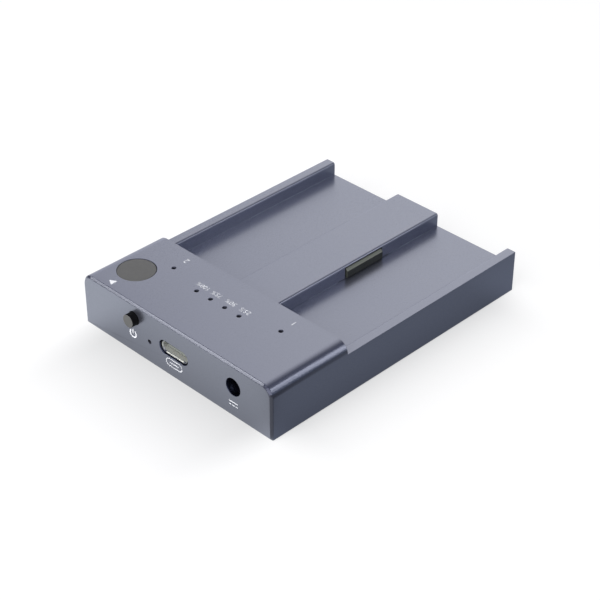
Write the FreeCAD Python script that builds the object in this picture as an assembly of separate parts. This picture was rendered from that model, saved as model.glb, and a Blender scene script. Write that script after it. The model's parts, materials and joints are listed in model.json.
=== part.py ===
"""Drive duplicator with two open bays for bare M.2 drives.

Axes: X to the right as seen from the port face, +Y from the port face to the open end of the bays,
+Z up. The model is drawn with the port face at y = 0 and the underside of the body at z = 0, and each
piece is moved on export so that the origin is the middle of the whole part's footprint, on the
surface that the feet stand on.
"""
import FreeCAD, Part
import math
import os

# Body
BODY_W = 65.0
BODY_L = 84.5
BODY_H = 14.55
BLOCK_D = 24.3            # closed front block, port face to its rear face
WALL_TOP = 11.4           # flat tops of side walls and rib
CORNER_R = 3.15           # long top edges
FRONT_CHAMFER = 0.42
SIDE_T = 2.85             # side walls beside the bays
RIB_W = 14.2
FLOOR_TOP = 7.72          # bay floors
FLOOR_T = 1.3
RIM_R = 0.65              # inner top edges of walls and rib
ROOT_R = 0.3              # where floor meets wall
SKIN = 2.0                # walls round the electronics
FRONT_T = 1.8
REAR_T = 1.5              # wall between block and bays
TOP_T = 1.5
END_T = 1.8

# Clearances
RUN_GAP = 0.1             # moving piece in its guide
SEAT_GAP = 0.05           # flange under its seat
FIT_GAP = 0.15            # loose piece in its pocket
JOIN = 0.1                # how far a boss or tail runs into what carries it
PAST = 1.0                # how far a cutter runs past the face that it opens

# Boards
BOARD_DROP = 0.52         # main board's top face below the bay floor's underside
BOARD_T = 1.6
BOARD_EDGE_GAP = 0.4
BOARD_CORNER = 1.0
UPPER_BOARD_T = 0.8
UPPER_REAR_GAP = 0.2      # upper board to the drive connectors
UPPER_CORNER = 0.6
LOBE_MARGIN = 1.4         # board in front of the start switch
STRIP_DEPTH = 5.1
STRIP_END = 3.2           # board beyond the right bay's light
FILM_T = 0.2

# Start button and its switch
START_FROM_SIDE = 8.4
START_Y = 9.95
START_D = 9.6
START_TRAVEL = 0.35
START_FLANGE = 0.4
START_FLANGE_T = 0.6
START_CHAMFER = 0.15
SWITCH_SIDE = 5.2
SWITCH_H = 1.0
SWITCH_CORNER = 0.5
SWITCH_FLOOR = 0.15
SWITCH_PIN_R = 1.0
TERMINAL_L = 1.2
TERMINAL_W = 0.9
TERMINAL_T = 0.2

# Power button and its switch
POWER_FROM_USB = 13.8
POWER_FROM_TOP = 4.12
POWER_D = 3.43
POWER_PROUD = 1.9
POWER_TRAVEL = 0.5
POWER_FLANGE = 0.7
POWER_FLANGE_T = 0.6
POWER_CHAMFER = 0.2
POWER_SWITCH_SIDE = 4.6
POWER_SWITCH_D = 3.4
POWER_SWITCH_GAP = 1.0    # flange to the front of the switch
POWER_SWITCH_CORNER = 0.4
POWER_PIN_R = 0.9
POWER_PIN_DEPTH = 1.2     # plunger inside the switch
BRACKET_T = 0.3
BRACKET_LEG_W = 1.2
DOME_T = 0.12
DOME_RIM_GAP = 0.05
DOME_RIM_W = 0.3

# USB-C receptacle
USB_X = 0.0
USB_W = 8.94
USB_H = 3.26
USB_WALL = 0.3
USB_D = 7.6
USB_SET_BACK = 0.5
USB_OPEN_W = 9.95
USB_OPEN_H = 3.77
USB_LEG_W = 0.9
USB_FRONT_LEG = 1.6       # first pair of legs behind the port wall
USB_REAR_LEG = 1.2        # second pair in front of the receptacle's back
TONGUE_W = 6.69
TONGUE_T = 0.7
TONGUE_SET_BACK = 0.65
TONGUE_NOSE = 0.2
USB_BASE_D = 2.4
USB_CONTACTS = 12
USB_PITCH = 0.5
USB_CONTACT_W = 0.25
USB_CONTACT_T = 0.08
USB_CONTACT_L = 3.6
USB_CONTACT_SET_BACK = 0.5

# DC inlet
DC_FROM_SIDE = 12.35
DC_AXIS_H = 2.65          # bore's axis above the board
DC_HOLE_D = 4.7
DC_BORE_D = 4.25
DC_BORE_DEPTH = 8.6
DC_BODY_W = 6.4
DC_BODY_D = 10.0
DC_BODY_H = 5.3
DC_BODY_BEVEL = 0.7
DC_PIN_D = 1.65
DC_PIN_SET_BACK = 1.0
DC_PIN_TIP = 0.4
DC_BACK_WALL = 0.5
DC_GROOVE_START = 2.0
DC_SPRING_W = 1.6
DC_SPRING_T = 0.25
DC_SPRING_BOW = 0.3
DC_LEG_W = 1.6
DC_LEG_T = 0.3
DC_LEG_BACK = 1.2
DC_LEG_PITCH = 4.0

# Light pipes and lights
LIGHT_D = 1.15
LIGHT_GAP = 0.04
LIGHT_SET_BACK = 0.45
PROGRESS_LIGHTS = 4
PROGRESS_PITCH = 4.85
PROGRESS_FROM_REAR = 10.18
BAY_LIGHT_FROM_REAR = 7.5
POWER_LIGHT_FROM_USB = 8.48
POWER_LIGHT_H = 0.4       # light's axis above the board
POWER_LED_GAP = 0.3
PIPE_BAR_T = 0.7
PIPE_BAR_W = 1.5
PIPE_FLANGE_W = 2.2
LED_L = 1.6
LED_W = 0.8
LED_H = 0.65
LED_BASE_H = 0.26
LED_LENS_L = 1.0
LED_LENS_W = 0.72

# M.2 connectors
CARD_H = 4.2              # middle of the drive's board above the main board
CARD_T = 0.8
SOCKET_SIDE_GAP = 0.325
SOCKET_D = 6.4
SOCKET_H = 5.6
SOCKET_SET_BACK = 0.3
SOCKET_BEVEL = 0.3
SOCKET_END = 0.85         # solid end of the housing beside the card slot
SOCKET_SLOT_H = 1.1
SOCKET_SLOT_D = 4.4
SOCKET_KEY_X = 6.125
SOCKET_KEY_W = 1.1
SOCKET_KEY_CLEAR = 0.9    # no contact nearer than this to the key's middle
SOCKET_MOUTH_GAP = 0.2
MOUTH_BEVEL = 0.4
TRENCH_H = 0.45           # contact trench above and below the slot
TRENCH_STOP = 0.9         # trench ends this far behind the mouth
RELIEF_D = 1.0
RELIEF_H = 2.6
CONTACT_PITCH = 0.5
CONTACT_MARGIN = 0.85     # last contact to the end of the slot
CONTACT_W = 0.22
CONTACT_T = 0.2
CONTACT_STOP = 1.0
CONTACT_NOSE = 0.5
CONTACT_LIFT = 0.25
CARD_GAP = 0.02
TAB_SIDE = 1.0
TAB_IN = 1.2              # solder tab from the end of the housing
TAB_SHORT = 0.4           # tab stops this far inside the board

# Side clamps in the rib
CLAMP_FROM_END = 27.8     # middle of the clamps to the open end of the bays
CLAMP_PAD_L = 12.7
CLAMP_PAD_H = 2.25
CLAMP_PAD_LIFT = 0.13
CLAMP_PAD_T = 1.08
CLAMP_PROUD = 0.5
CLAMP_TRAVEL = 0.5
CLAMP_FOOT_L = 17.4
CLAMP_FOOT_H = 1.48       # top of a clamp's foot above the bay floor
CLAMP_BACK = 3.4          # back of a clamp to the rib's middle
CLAMP_LEAD = 0.62         # lead-in along the top of a clamp's face
CLAMP_SKIN = 0.9          # rib face in front of a clamp's foot
CLAMP_NECK = 0.5
WINDOW_GAP = 0.3
WINDOW_H = 3.13
FOOT_SLOT_L = 18.2
FOOT_SLOT_H = 0.25
HOLDER_T = 0.6
HOLDER_WALL = 1.0
HOLDER_EDGE = 0.7
HOLDER_TAB = 3.6
HOLDER_STOP = 0.7
HOLDER_CORNER = 0.8
LEAF_T = 0.15
LEAF_L = 14.0
LEAF_W = 1.6
LEAF_LIFT = 0.3

# Fasteners: thread core and head
M2_D = 1.6
M2_HEAD_D = 3.6
M2_HEAD_H = 1.3
M16_D = 1.25
M16_HEAD_D = 2.6
M16_HEAD_H = 0.9
HOLDER_HEAD_D = 2.4
HEAD_SLOPE = 0.3          # a pan head's lower face is this much smaller in radius
SOCKET_DEPTH_SHARE = 0.6  # hexagon socket as a share of the head
HEX_SHARE = 0.45
BOARD_SCREW_L = 4.5
BLIND = 0.6               # metal left above a blind thread
FRONT_PAD = 3.7           # square pads in the front corners
FRONT_SCREW_IN = 2.4      # screw from the side wall
FRONT_SCREW_Y = 1.9       # screw from the port wall
POST_SIDE = 4.2
POST_IN = 2.2             # cover's post from the side wall
POST_FRONT = 2.9          # front posts behind the block
POST_REAR = 4.6           # rear posts from the body's end
RIB_PAD = 3.6
RIB_PAD_REAR = 6.5        # rib's pad from the body's end
UPPER_PAD = 3.0
UPPER_SCREW_FROM_LIGHT = 3.2
UPPER_SCREW_IN = 2.7      # screw from the upper board's rear edge

# Underside
COVER_T = 1.2
COVER_CORNER = 0.5
FOOT_PROUD = 0.5
FOOT_D = 9.0
FOOT_BEVEL = 0.3
FOOT_FROM_SIDE = 10.0
FOOT_FRONT = 12.0
FOOT_REAR = 12.5

# Pin header between the boards
LINK_FROM_REAR = 2.7
LINK_PITCH = 1.27
LINK_COLUMNS = 3
LINK_ROWS = 3
LINK_PIN_W = 0.44
LINK_MARGIN = 1.1
TAIL_BELOW = 0.6          # how far pins and legs reach below a board
PIN_ABOVE = 0.5

# Parts on the boards
CHIP_SIDE = 9.0
CHIP_T = 1.0
CHIP_BEVEL = 0.15
CHIP_FROM_BLOCK = 17.7
PAD_SIDE = 12.0
CONTROLLER_SIDE = 7.0
CONTROLLER_T = 0.9
CONTROLLER_FROM_BLOCK = 16.7
FLASH_W = 3.9
FLASH_L = 4.9
FLASH_T = 1.35
FLASH_LIFT = 0.15
FLASH_LEGS = 4
FLASH_LEG_PITCH = 1.27
FLASH_LEG_W = 0.4
FLASH_LEG_T = 0.2
FLASH_LEG_REACH = 1.1
FLASH_FROM_CHIP = 13.0
FLASH_FROM_CONTROLLER = 9.5
REGULATOR_SIDE = 3.0
REGULATOR_T = 0.8
REGULATOR_FROM_BAY = 7.4
CRYSTAL_W = 2.5
CRYSTAL_L = 3.2
CRYSTAL_T = 0.7
CRYSTAL_CORNER = 0.3
CRYSTAL_FROM_CHIP = 8.0
CRYSTAL_SHIFT = 1.5
CONTROLLER_CRYSTAL = (-5.1, 6.0)
INDUCTOR_SIDE = 4.4
INDUCTOR_H = 2.2
INDUCTOR_CORNER = 0.5
INDUCTOR_FROM_BAY = 1.4
POWER_ROW = 5.7           # regulators and inductors behind the block's rear face
INPUT_FROM_BAY = 5.6      # input regulator and its inductor outboard of the right bay's middle
INPUT_REGULATOR = 2.3     # in front of the block's rear face
INPUT_INDUCTOR = 8.8
CORE_INDUCTOR_X = -5.0
CAN_D = 3.6
CAN_BASE = 3.8
CAN_BASE_H = 0.5
CAN_CROWN = 0.3
CAN_FRONT = 2.4           # first can behind the port wall
CAN_PITCH = 4.1
CAN_TOP_GAP = 0.5
BULK_L = 2.0
BULK_W = 1.25
BULK_T = 1.0
BULK_COUNT = 3
BULK_ROW = 7.6            # in front of a bridge chip's middle
SMALL_L = 1.6
SMALL_W = 0.8
SMALL_T = 0.8
SMALL_COUNT = 4
SMALL_ROW = 8.6           # behind a bridge chip's middle
CAPACITOR_PITCH = 4.0
RESISTOR_L = 1.0
RESISTOR_W = 0.5
RESISTOR_T = 0.35
RESISTOR_COUNT = 6
RESISTOR_PITCH = 2.0
RESISTOR_FROM_BAY = 8.9
RESISTOR_START = 5.0

# Worked out from the sizes above
HALF_W = BODY_W / 2
BAY_W = (BODY_W - 2 * SIDE_T - RIB_W) / 2
RIB_HALF = RIB_W / 2
BAY_X = RIB_HALF + BAY_W / 2
ROOM_HALF = HALF_W - SKIN
ROOM_TOP = BODY_H - TOP_T
ROOM_END = BODY_L - END_T
FLOOR_LOW = FLOOR_TOP - FLOOR_T
BLOCK_ROOM_END = BLOCK_D - REAR_T
BOARD_TOP = FLOOR_LOW - BOARD_DROP
BOARD_LOW = BOARD_TOP - BOARD_T
FLANGE_TOP = ROOM_TOP - SEAT_GAP
FLANGE_LOW = FLANGE_TOP - START_FLANGE_T
UPPER_TOP = FLANGE_LOW - START_TRAVEL - FIT_GAP - SWITCH_H
UPPER_LOW = UPPER_TOP - UPPER_BOARD_T

SOCKET_W = BAY_W - 2 * SOCKET_SIDE_GAP
SLOT_HALF = SOCKET_W / 2 - SOCKET_END
SOCKET_FRONT = BLOCK_D - SOCKET_SET_BACK
SOCKET_BACK = SOCKET_FRONT - SOCKET_D
SOCKET_TOP = BOARD_TOP + SOCKET_H
SLOT_BACK = SOCKET_FRONT - SOCKET_SLOT_D
CARD_Z = BOARD_TOP + CARD_H
UPPER_REAR = SOCKET_BACK - UPPER_REAR_GAP

START_X = START_FROM_SIDE - HALF_W
POWER_X = USB_X - POWER_FROM_USB
POWER_Z = BODY_H - POWER_FROM_TOP
POWER_FLANGE_FRONT = FRONT_T + SEAT_GAP
POWER_FLANGE_BACK = POWER_FLANGE_FRONT + POWER_FLANGE_T
POWER_SWITCH_FRONT = POWER_FLANGE_BACK + POWER_SWITCH_GAP
POWER_SWITCH_BACK = POWER_SWITCH_FRONT + POWER_SWITCH_D
POWER_PIN_BACK = POWER_SWITCH_FRONT + POWER_PIN_DEPTH
POWER_WELL_END = POWER_PIN_BACK + RUN_GAP + POWER_TRAVEL

USB_Z = BOARD_TOP + USB_H / 2
USB_BACK = USB_SET_BACK + USB_D
USB_INNER_W = USB_W - 2 * USB_WALL
USB_INNER_H = USB_H - 2 * USB_WALL
DC_X = HALF_W - DC_FROM_SIDE
DC_Z = BOARD_TOP + DC_AXIS_H
DC_BACK = FRONT_T + DC_BODY_D
CAN_X = (USB_X + USB_W / 2 + DC_X - DC_BODY_W / 2) / 2

PROGRESS_Y = BLOCK_D - PROGRESS_FROM_REAR
PROGRESS_PLACES = [
    (USB_X + PROGRESS_PITCH * (i - (PROGRESS_LIGHTS - 1) / 2), PROGRESS_Y) for i in range(PROGRESS_LIGHTS)
]
BAY_LIGHT_Y = BLOCK_D - BAY_LIGHT_FROM_REAR
BAY_LIGHT_PLACES = [(-BAY_X, BAY_LIGHT_Y), (BAY_X, BAY_LIGHT_Y)]
POWER_LIGHT_X = USB_X - POWER_LIGHT_FROM_USB
POWER_LIGHT_Z = BOARD_TOP + POWER_LIGHT_H
POWER_LED_FRONT = FRONT_T + PIPE_BAR_T + POWER_LED_GAP

CLAMP_Y = BODY_L - CLAMP_FROM_END
CLAMP_TOP = FLOOR_TOP + CLAMP_FOOT_H
CLAMP_PAD_LOW = FLOOR_TOP + CLAMP_PAD_LIFT
CLAMP_PAD_TOP = CLAMP_PAD_LOW + CLAMP_PAD_H
POCKET_X = RIB_HALF - CLAMP_SKIN
POCKET_HALF_L = CLAMP_FOOT_L / 2 + RUN_GAP
HOLDER_TOP = FLOOR_LOW + HOLDER_T
HOLDER_HALF_W = POCKET_X + HOLDER_EDGE
HOLDER_HALF_L = POCKET_HALF_L + HOLDER_TAB
HOLDER_SCREW_Y = POCKET_HALF_L + HOLDER_TAB / 2
CLAMP_LOW = HOLDER_TOP + SEAT_GAP
WINDOW_HALF_L = CLAMP_PAD_L / 2 + WINDOW_GAP

BOARD_SCREW_TIP = BOARD_LOW + BOARD_SCREW_L
BOARD_THREAD_TOP = BOARD_SCREW_TIP + FIT_GAP
FRONT_PAD_TOP = BOARD_THREAD_TOP + BLIND
UPPER_THREAD_TOP = BODY_H - BLIND
COVER_THREAD_TOP = FLOOR_TOP - BLIND
HOLDER_THREAD_TOP = CLAMP_TOP
FRONT_SCREWS = [(side * (ROOM_HALF - FRONT_SCREW_IN), FRONT_T + FRONT_SCREW_Y) for side in (-1, 1)]
RIB_SCREW = (0.0, BODY_L - RIB_PAD_REAR)
BOARD_SCREWS = FRONT_SCREWS + [RIB_SCREW]
UPPER_SCREW_Y = UPPER_REAR - UPPER_SCREW_IN
UPPER_SCREWS = [(side * (BAY_X - UPPER_SCREW_FROM_LIGHT), UPPER_SCREW_Y) for side in (-1, 1)]
POSTS = [
    (side * (ROOM_HALF - POST_IN), y)
    for side in (-1, 1)
    for y in (BLOCK_D + POST_FRONT, BODY_L - POST_REAR)
]
FEET = [
    (side * (HALF_W - FOOT_FROM_SIDE), y)
    for side in (-1, 1)
    for y in (FOOT_FRONT, BODY_L - FOOT_REAR)
]
LINK_X = (PROGRESS_PLACES[-1][0] + UPPER_SCREWS[-1][0]) / 2
LINK_Y = UPPER_REAR - LINK_FROM_REAR
CHIP_Y = BLOCK_D + CHIP_FROM_BLOCK
CONTROLLER_Y = BLOCK_D + CONTROLLER_FROM_BLOCK
SIDES = {"left": -1, "right": 1}

V = FreeCAD.Vector
UP = V(0, 0, 1)
BACK = V(0, 1, 0)
TO_ORIGIN = V(0, -(BODY_L - POWER_PROUD) / 2, FOOT_PROUD)


def box(x0, x1, y0, y1, z0, z1):
    """Upright block between two corners, given in either order."""
    x0, x1 = sorted((x0, x1))
    y0, y1 = sorted((y0, y1))
    z0, z1 = sorted((z0, z1))
    return Part.makeBox(x1 - x0, y1 - y0, z1 - z0, V(x0, y0, z0))


def centred(x, y, width, depth, z0, z1):
    """Upright block about a centre line."""
    return box(x - width / 2, x + width / 2, y - depth / 2, y + depth / 2, z0, z1)


def rod(radius, x, y, z0, z1):
    """Upright cylinder between two heights."""
    return Part.makeCylinder(radius, z1 - z0, V(x, y, z0), UP)


def rod_y(radius, x, z, y0, y1):
    """Cylinder along Y between two depths."""
    return Part.makeCylinder(radius, y1 - y0, V(x, y0, z), BACK)


def polygon_face(points):
    """Flat face inside a closed ring of points."""
    return Part.Face(Part.makePolygon(points + points[:1]))


def turned(profile, x, y):
    """Solid turned about the upright axis at (x, y) from a ring of (radius, z) points."""
    face = polygon_face([V(x + r, y, z) for r, z in profile])
    return outward(face.revolve(V(x, y, 0), UP, 360))


def turned_y(profile, x, z):
    """Solid turned about the Y axis through (x, z) from a ring of (radius, y) points."""
    face = polygon_face([V(x + r, y, z) for r, y in profile])
    return outward(face.revolve(V(x, 0, z), BACK, 360))


def outward(solid):
    """The same solid with its faces pointing outwards."""
    if solid.Volume < 0:
        solid.reverse()
    return solid


def outline_x(points, x0, x1):
    """Polygon of (y, z) points, drawn out along X."""
    return polygon_face([V(x0, y, z) for y, z in points]).extrude(V(x1 - x0, 0, 0))


def outline_y(points, y0, y1):
    """Polygon of (x, z) points, drawn out along Y."""
    return polygon_face([V(x, y0, z) for x, z in points]).extrude(V(0, y1 - y0, 0))


def outline_z(points, z0, z1):
    """Polygon of (x, y) points, drawn out along Z."""
    return polygon_face([V(x, y, z0) for x, y in points]).extrude(V(0, 0, z1 - z0))


def stadium_y(x, z, width, height, y0, y1):
    """Prism along Y whose section is a slot with round ends."""
    r = height / 2
    a = width / 2 - r
    top = Part.LineSegment(V(x - a, y0, z + r), V(x + a, y0, z + r)).toShape()
    right = Part.Arc(V(x + a, y0, z + r), V(x + a + r, y0, z), V(x + a, y0, z - r)).toShape()
    low = Part.LineSegment(V(x + a, y0, z - r), V(x - a, y0, z - r)).toShape()
    left = Part.Arc(V(x - a, y0, z - r), V(x - a - r, y0, z), V(x - a, y0, z + r)).toShape()
    face = Part.Face(Part.Wire([top, right, low, left]))
    return face.extrude(V(0, y1 - y0, 0))


def bowed_leaf(x_end, x_mid, thickness, y0, y1, z0, width):
    """Upright leaf along Y between two arcs, with its middle pushed out from x_end to x_mid."""
    mid = (y0 + y1) / 2
    arcs = []
    for shift in (0, thickness):
        arcs.append(Part.Arc(V(x_end + shift, y0, z0), V(x_mid + shift, mid, z0),
                             V(x_end + shift, y1, z0)).toShape())
    ends = [Part.LineSegment(V(x_end, y, z0), V(x_end + thickness, y, z0)).toShape() for y in (y0, y1)]
    face = Part.Face(Part.Wire(Part.__sortEdges__(arcs + ends)))
    return face.extrude(V(0, 0, width))


def fuse(shapes):
    """Union of a list of shapes, with seams between coplanar faces removed."""
    return shapes[0].fuse(shapes[1:]).removeSplitter()


def edges_where(shape, test):
    """Edges whose bounding box passes a test."""
    return [e for e in shape.Edges if test(e.BoundBox)]


def flat_at(low, high, value):
    """True where a span of an edge's box lies at one value."""
    return abs(low - value) < 1e-4 and abs(high - value) < 1e-4


def bevelled_plate(x0, x1, y0, y1, z0, z1, corner):
    """Plate with its upright corners cut off."""
    plate = box(x0, x1, y0, y1, z0, z1)
    return plate.makeChamfer(corner, edges_where(plate, lambda b: b.ZLength > (z1 - z0) / 2))


def save(name, shape):
    """Move a piece to the part's origin and write it."""
    placed = shape.copy()
    placed.translate(TO_ORIGIN)
    placed.exportStep("parts/" + name + ".step")


# Body

def body_profile():
    """Solid of the outer form: flat sides and two rounded long top edges."""
    r = CORNER_R
    s = r * math.sin(math.pi / 4)
    low_left = V(-HALF_W, 0, 0)
    low_right = V(HALF_W, 0, 0)
    side_left = V(-HALF_W, 0, BODY_H - r)
    side_right = V(HALF_W, 0, BODY_H - r)
    top_left = V(-HALF_W + r, 0, BODY_H)
    top_right = V(HALF_W - r, 0, BODY_H)
    mid_left = V(-HALF_W + r - s, 0, BODY_H - r + s)
    mid_right = V(HALF_W - r + s, 0, BODY_H - r + s)
    edges = [
        Part.LineSegment(low_left, low_right).toShape(),
        Part.LineSegment(low_right, side_right).toShape(),
        Part.Arc(side_right, mid_right, top_right).toShape(),
        Part.LineSegment(top_right, top_left).toShape(),
        Part.Arc(top_left, mid_left, side_left).toShape(),
        Part.LineSegment(side_left, low_left).toShape(),
    ]
    face = Part.Face(Part.Wire(edges))
    return face.extrude(V(0, BODY_L, 0))


def bays_cut(body):
    """Mill the body down to the wall tops behind the block and sink both channels."""
    above = box(-HALF_W - PAST, HALF_W + PAST, BLOCK_D, BODY_L + PAST, WALL_TOP, BODY_H + PAST)
    channels = [
        box(side * BAY_X - BAY_W / 2, side * BAY_X + BAY_W / 2, BLOCK_D, BODY_L + PAST, FLOOR_TOP, BODY_H)
        for side in SIDES.values()
    ]
    body = body.cut([above] + channels)
    inner = [side * (BAY_X + half * BAY_W / 2) for side in SIDES.values() for half in (-1, 1)]

    def along_bay(b, z):
        beside = min(abs(b.XMin - x) for x in inner) < 1e-4
        return beside and b.YLength > BODY_L / 2 and flat_at(b.ZMin, b.ZMax, z)

    body = body.makeFillet(RIM_R, edges_where(body, lambda b: along_bay(b, WALL_TOP)))
    return body.makeFillet(ROOT_R, edges_where(body, lambda b: along_bay(b, FLOOR_TOP)))


def clamp_window(side):
    """Window and foot slot for one side clamp in the rib's face."""
    outer = side * (RIB_HALF + ROOT_R + JOIN)
    deep = side * (RIB_HALF - CLAMP_PAD_T - CLAMP_TRAVEL)
    window = box(deep, outer, CLAMP_Y - WINDOW_HALF_L, CLAMP_Y + WINDOW_HALF_L, FLOOR_TOP,
                 FLOOR_TOP + WINDOW_H)
    slot = box(side * (POCKET_X - JOIN), outer, CLAMP_Y - FOOT_SLOT_L / 2, CLAMP_Y + FOOT_SLOT_L / 2,
               FLOOR_TOP, FLOOR_TOP + FOOT_SLOT_H)
    return [window, slot]


def clamp_pocket():
    """Pocket under the rib that takes both clamps, their springs and the holder."""
    pocket = box(-POCKET_X, POCKET_X, CLAMP_Y - POCKET_HALF_L, CLAMP_Y + POCKET_HALF_L,
                 FLOOR_LOW - PAST, CLAMP_TOP + FIT_GAP)
    seat = box(-HOLDER_HALF_W - FIT_GAP, HOLDER_HALF_W + FIT_GAP, CLAMP_Y - HOLDER_HALF_L - FIT_GAP,
               CLAMP_Y + HOLDER_HALF_L + FIT_GAP, FLOOR_LOW - PAST, HOLDER_TOP)
    holes = [
        rod(M16_D / 2, 0, CLAMP_Y + end * HOLDER_SCREW_Y, HOLDER_TOP - JOIN, HOLDER_THREAD_TOP)
        for end in (-1, 1)
    ]
    return [pocket, seat] + holes


def ports_cut():
    """Openings in the port face, the top and the rear face of the block."""
    cuts = [
        stadium_y(USB_X, USB_Z, USB_OPEN_W, USB_OPEN_H, -PAST, FRONT_T + PAST),
        rod_y(DC_HOLE_D / 2, DC_X, DC_Z, -PAST, FRONT_T + PAST),
        rod_y(POWER_D / 2 + RUN_GAP, POWER_X, POWER_Z, -PAST, FRONT_T + PAST),
        rod_y(LIGHT_D / 2, POWER_LIGHT_X, POWER_LIGHT_Z, -PAST, FRONT_T + PAST),
        rod(START_D / 2 + RUN_GAP, START_X, START_Y, ROOM_TOP - PAST, BODY_H + PAST),
    ]
    for x, y in PROGRESS_PLACES + BAY_LIGHT_PLACES:
        cuts.append(rod(LIGHT_D / 2, x, y, ROOM_TOP - PAST, BODY_H + PAST))
    mouth = SOCKET_W / 2 + SOCKET_MOUTH_GAP
    for side in SIDES.values():
        cuts.append(box(side * BAY_X - mouth, side * BAY_X + mouth, BLOCK_ROOM_END - PAST,
                        BLOCK_D + SEAT_GAP, BOARD_TOP, SOCKET_TOP + SOCKET_MOUTH_GAP))
    return cuts


def front_pads(z0, z1, gap):
    """Square pads in the front corners of the room, as they are or grown by a gap."""
    reach = ROOM_HALF + JOIN
    y1 = FRONT_T + FRONT_PAD + gap
    return [
        box(side * (ROOM_HALF - FRONT_PAD - gap), side * reach, FRONT_T - JOIN, y1, z0, z1)
        for side in (-1, 1)
    ]


def posts(z0, z1, gap):
    """Posts for the cover's screws, joined to the side walls and the end wall, or grown by a gap."""
    reach = POST_SIDE / 2 + gap
    blocks = []
    for x, y in POSTS:
        y1 = ROOM_END + JOIN if y > BODY_L / 2 else y + reach
        blocks.append(box(x - math.copysign(reach, x), math.copysign(ROOM_HALF + JOIN, x),
                          y - reach, y1, z0, z1))
    return blocks


def rib_pad(z0, z1, gap):
    """Square pad under the rib's rear end, as it is or grown by a gap."""
    side = RIB_PAD + 2 * gap
    return centred(RIB_SCREW[0], RIB_SCREW[1], side, side, z0, z1)


def make_top_shell():
    """Body shell: outer form, bays, room for the boards, pads, posts and openings."""
    body = bays_cut(body_profile())
    front = edges_where(body, lambda b: flat_at(b.YMin, b.YMax, 0))
    body = body.makeChamfer(FRONT_CHAMFER, front)
    room = [
        box(-ROOM_HALF, ROOM_HALF, FRONT_T, BLOCK_ROOM_END, -PAST, ROOM_TOP),
        box(-ROOM_HALF, ROOM_HALF, FRONT_T, ROOM_END, -PAST, FLOOR_LOW),
    ]
    body = body.cut(room)
    solids = front_pads(BOARD_TOP, FRONT_PAD_TOP, 0)
    solids.append(rib_pad(BOARD_TOP, FLOOR_LOW + JOIN, 0))
    solids += posts(COVER_T, FLOOR_LOW + JOIN, 0)
    solids += [centred(x, y, UPPER_PAD, UPPER_PAD, UPPER_TOP, ROOM_TOP + JOIN) for x, y in UPPER_SCREWS]
    body = body.fuse(solids)
    holes = [rod(M2_D / 2, x, y, BOARD_TOP - JOIN, BOARD_THREAD_TOP) for x, y in BOARD_SCREWS]
    holes += [rod(M16_D / 2, x, y, UPPER_TOP - JOIN, UPPER_THREAD_TOP) for x, y in UPPER_SCREWS]
    holes += [rod(M2_D / 2, x, y, COVER_T - JOIN, COVER_THREAD_TOP) for x, y in POSTS]
    cuts = holes + ports_cut() + clamp_pocket()
    for side in SIDES.values():
        cuts += clamp_window(side)
    return body.cut(cuts).removeSplitter()


def make_bottom_cover():
    """Plate let into the underside, with a countersunk hole at each post."""
    gap = FIT_GAP
    plate = bevelled_plate(-ROOM_HALF + gap, ROOM_HALF - gap, FRONT_T + gap, ROOM_END - gap, 0, COVER_T,
                           COVER_CORNER)
    sinks = []
    for x, y in POSTS:
        sinks.append(Part.makeCone(M2_HEAD_D / 2 + gap, M2_D / 2 + gap, COVER_T, V(x, y, 0), UP))
    return plate.cut(sinks).removeSplitter()


def make_rubber_feet():
    """Four low discs under the cover, bevelled where they stand."""
    radius = FOOT_D / 2
    profile = [(0, 0), (radius, 0), (radius, FOOT_BEVEL - FOOT_PROUD), (radius - FOOT_BEVEL, -FOOT_PROUD),
               (0, -FOOT_PROUD)]
    return Part.makeCompound([turned(profile, x, y) for x, y in FEET])


def hex_socket(x, y, low, head_d, head_h):
    """Hexagonal hole for the key in the lower face of a screw's head."""
    reach = head_d * HEX_SHARE / 2
    corners = [math.radians(60 * i) for i in range(6)]
    ring = [(x + reach * math.cos(a), y + reach * math.sin(a)) for a in corners]
    return outline_z(ring, low - JOIN, low + head_h * SOCKET_DEPTH_SHARE)


def pan_screw(x, y, seat, head_d, head_h, core_d, tip):
    """Screw that goes in from below, with a low sloping head under its seat."""
    low = seat - head_h
    profile = [(0, low), (head_d / 2 - HEAD_SLOPE, low), (head_d / 2, seat), (core_d / 2, seat),
               (core_d / 2, tip), (0, tip)]
    return turned(profile, x, y).cut(hex_socket(x, y, low, head_d, head_h))


def flat_screw(x, y, low, head_d, head_h, core_d, tip):
    """Screw that goes in from below, with a countersunk head whose face is at low."""
    profile = [(0, low), (head_d / 2, low), (core_d / 2, low + head_h), (core_d / 2, tip), (0, tip)]
    return turned(profile, x, y).cut(hex_socket(x, y, low, head_d, head_h))


def make_cover_screws():
    """Countersunk screws, flush with the cover."""
    tip = COVER_THREAD_TOP - FIT_GAP
    return Part.makeCompound([flat_screw(x, y, 0, M2_HEAD_D, COVER_T, M2_D, tip) for x, y in POSTS])


def make_board_screws():
    """Pan-head screws that hold the main board up against its three pads."""
    return Part.makeCompound([
        pan_screw(x, y, BOARD_LOW, M2_HEAD_D, M2_HEAD_H, M2_D, BOARD_SCREW_TIP)
        for x, y in BOARD_SCREWS
    ])


def make_upper_board_screws():
    """Small pan-head screws that hold the upper board under the top wall."""
    tip = UPPER_THREAD_TOP - FIT_GAP
    return Part.makeCompound([
        pan_screw(x, y, UPPER_LOW, M16_HEAD_D, M16_HEAD_H, M16_D, tip) for x, y in UPPER_SCREWS
    ])


# Boards

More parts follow.
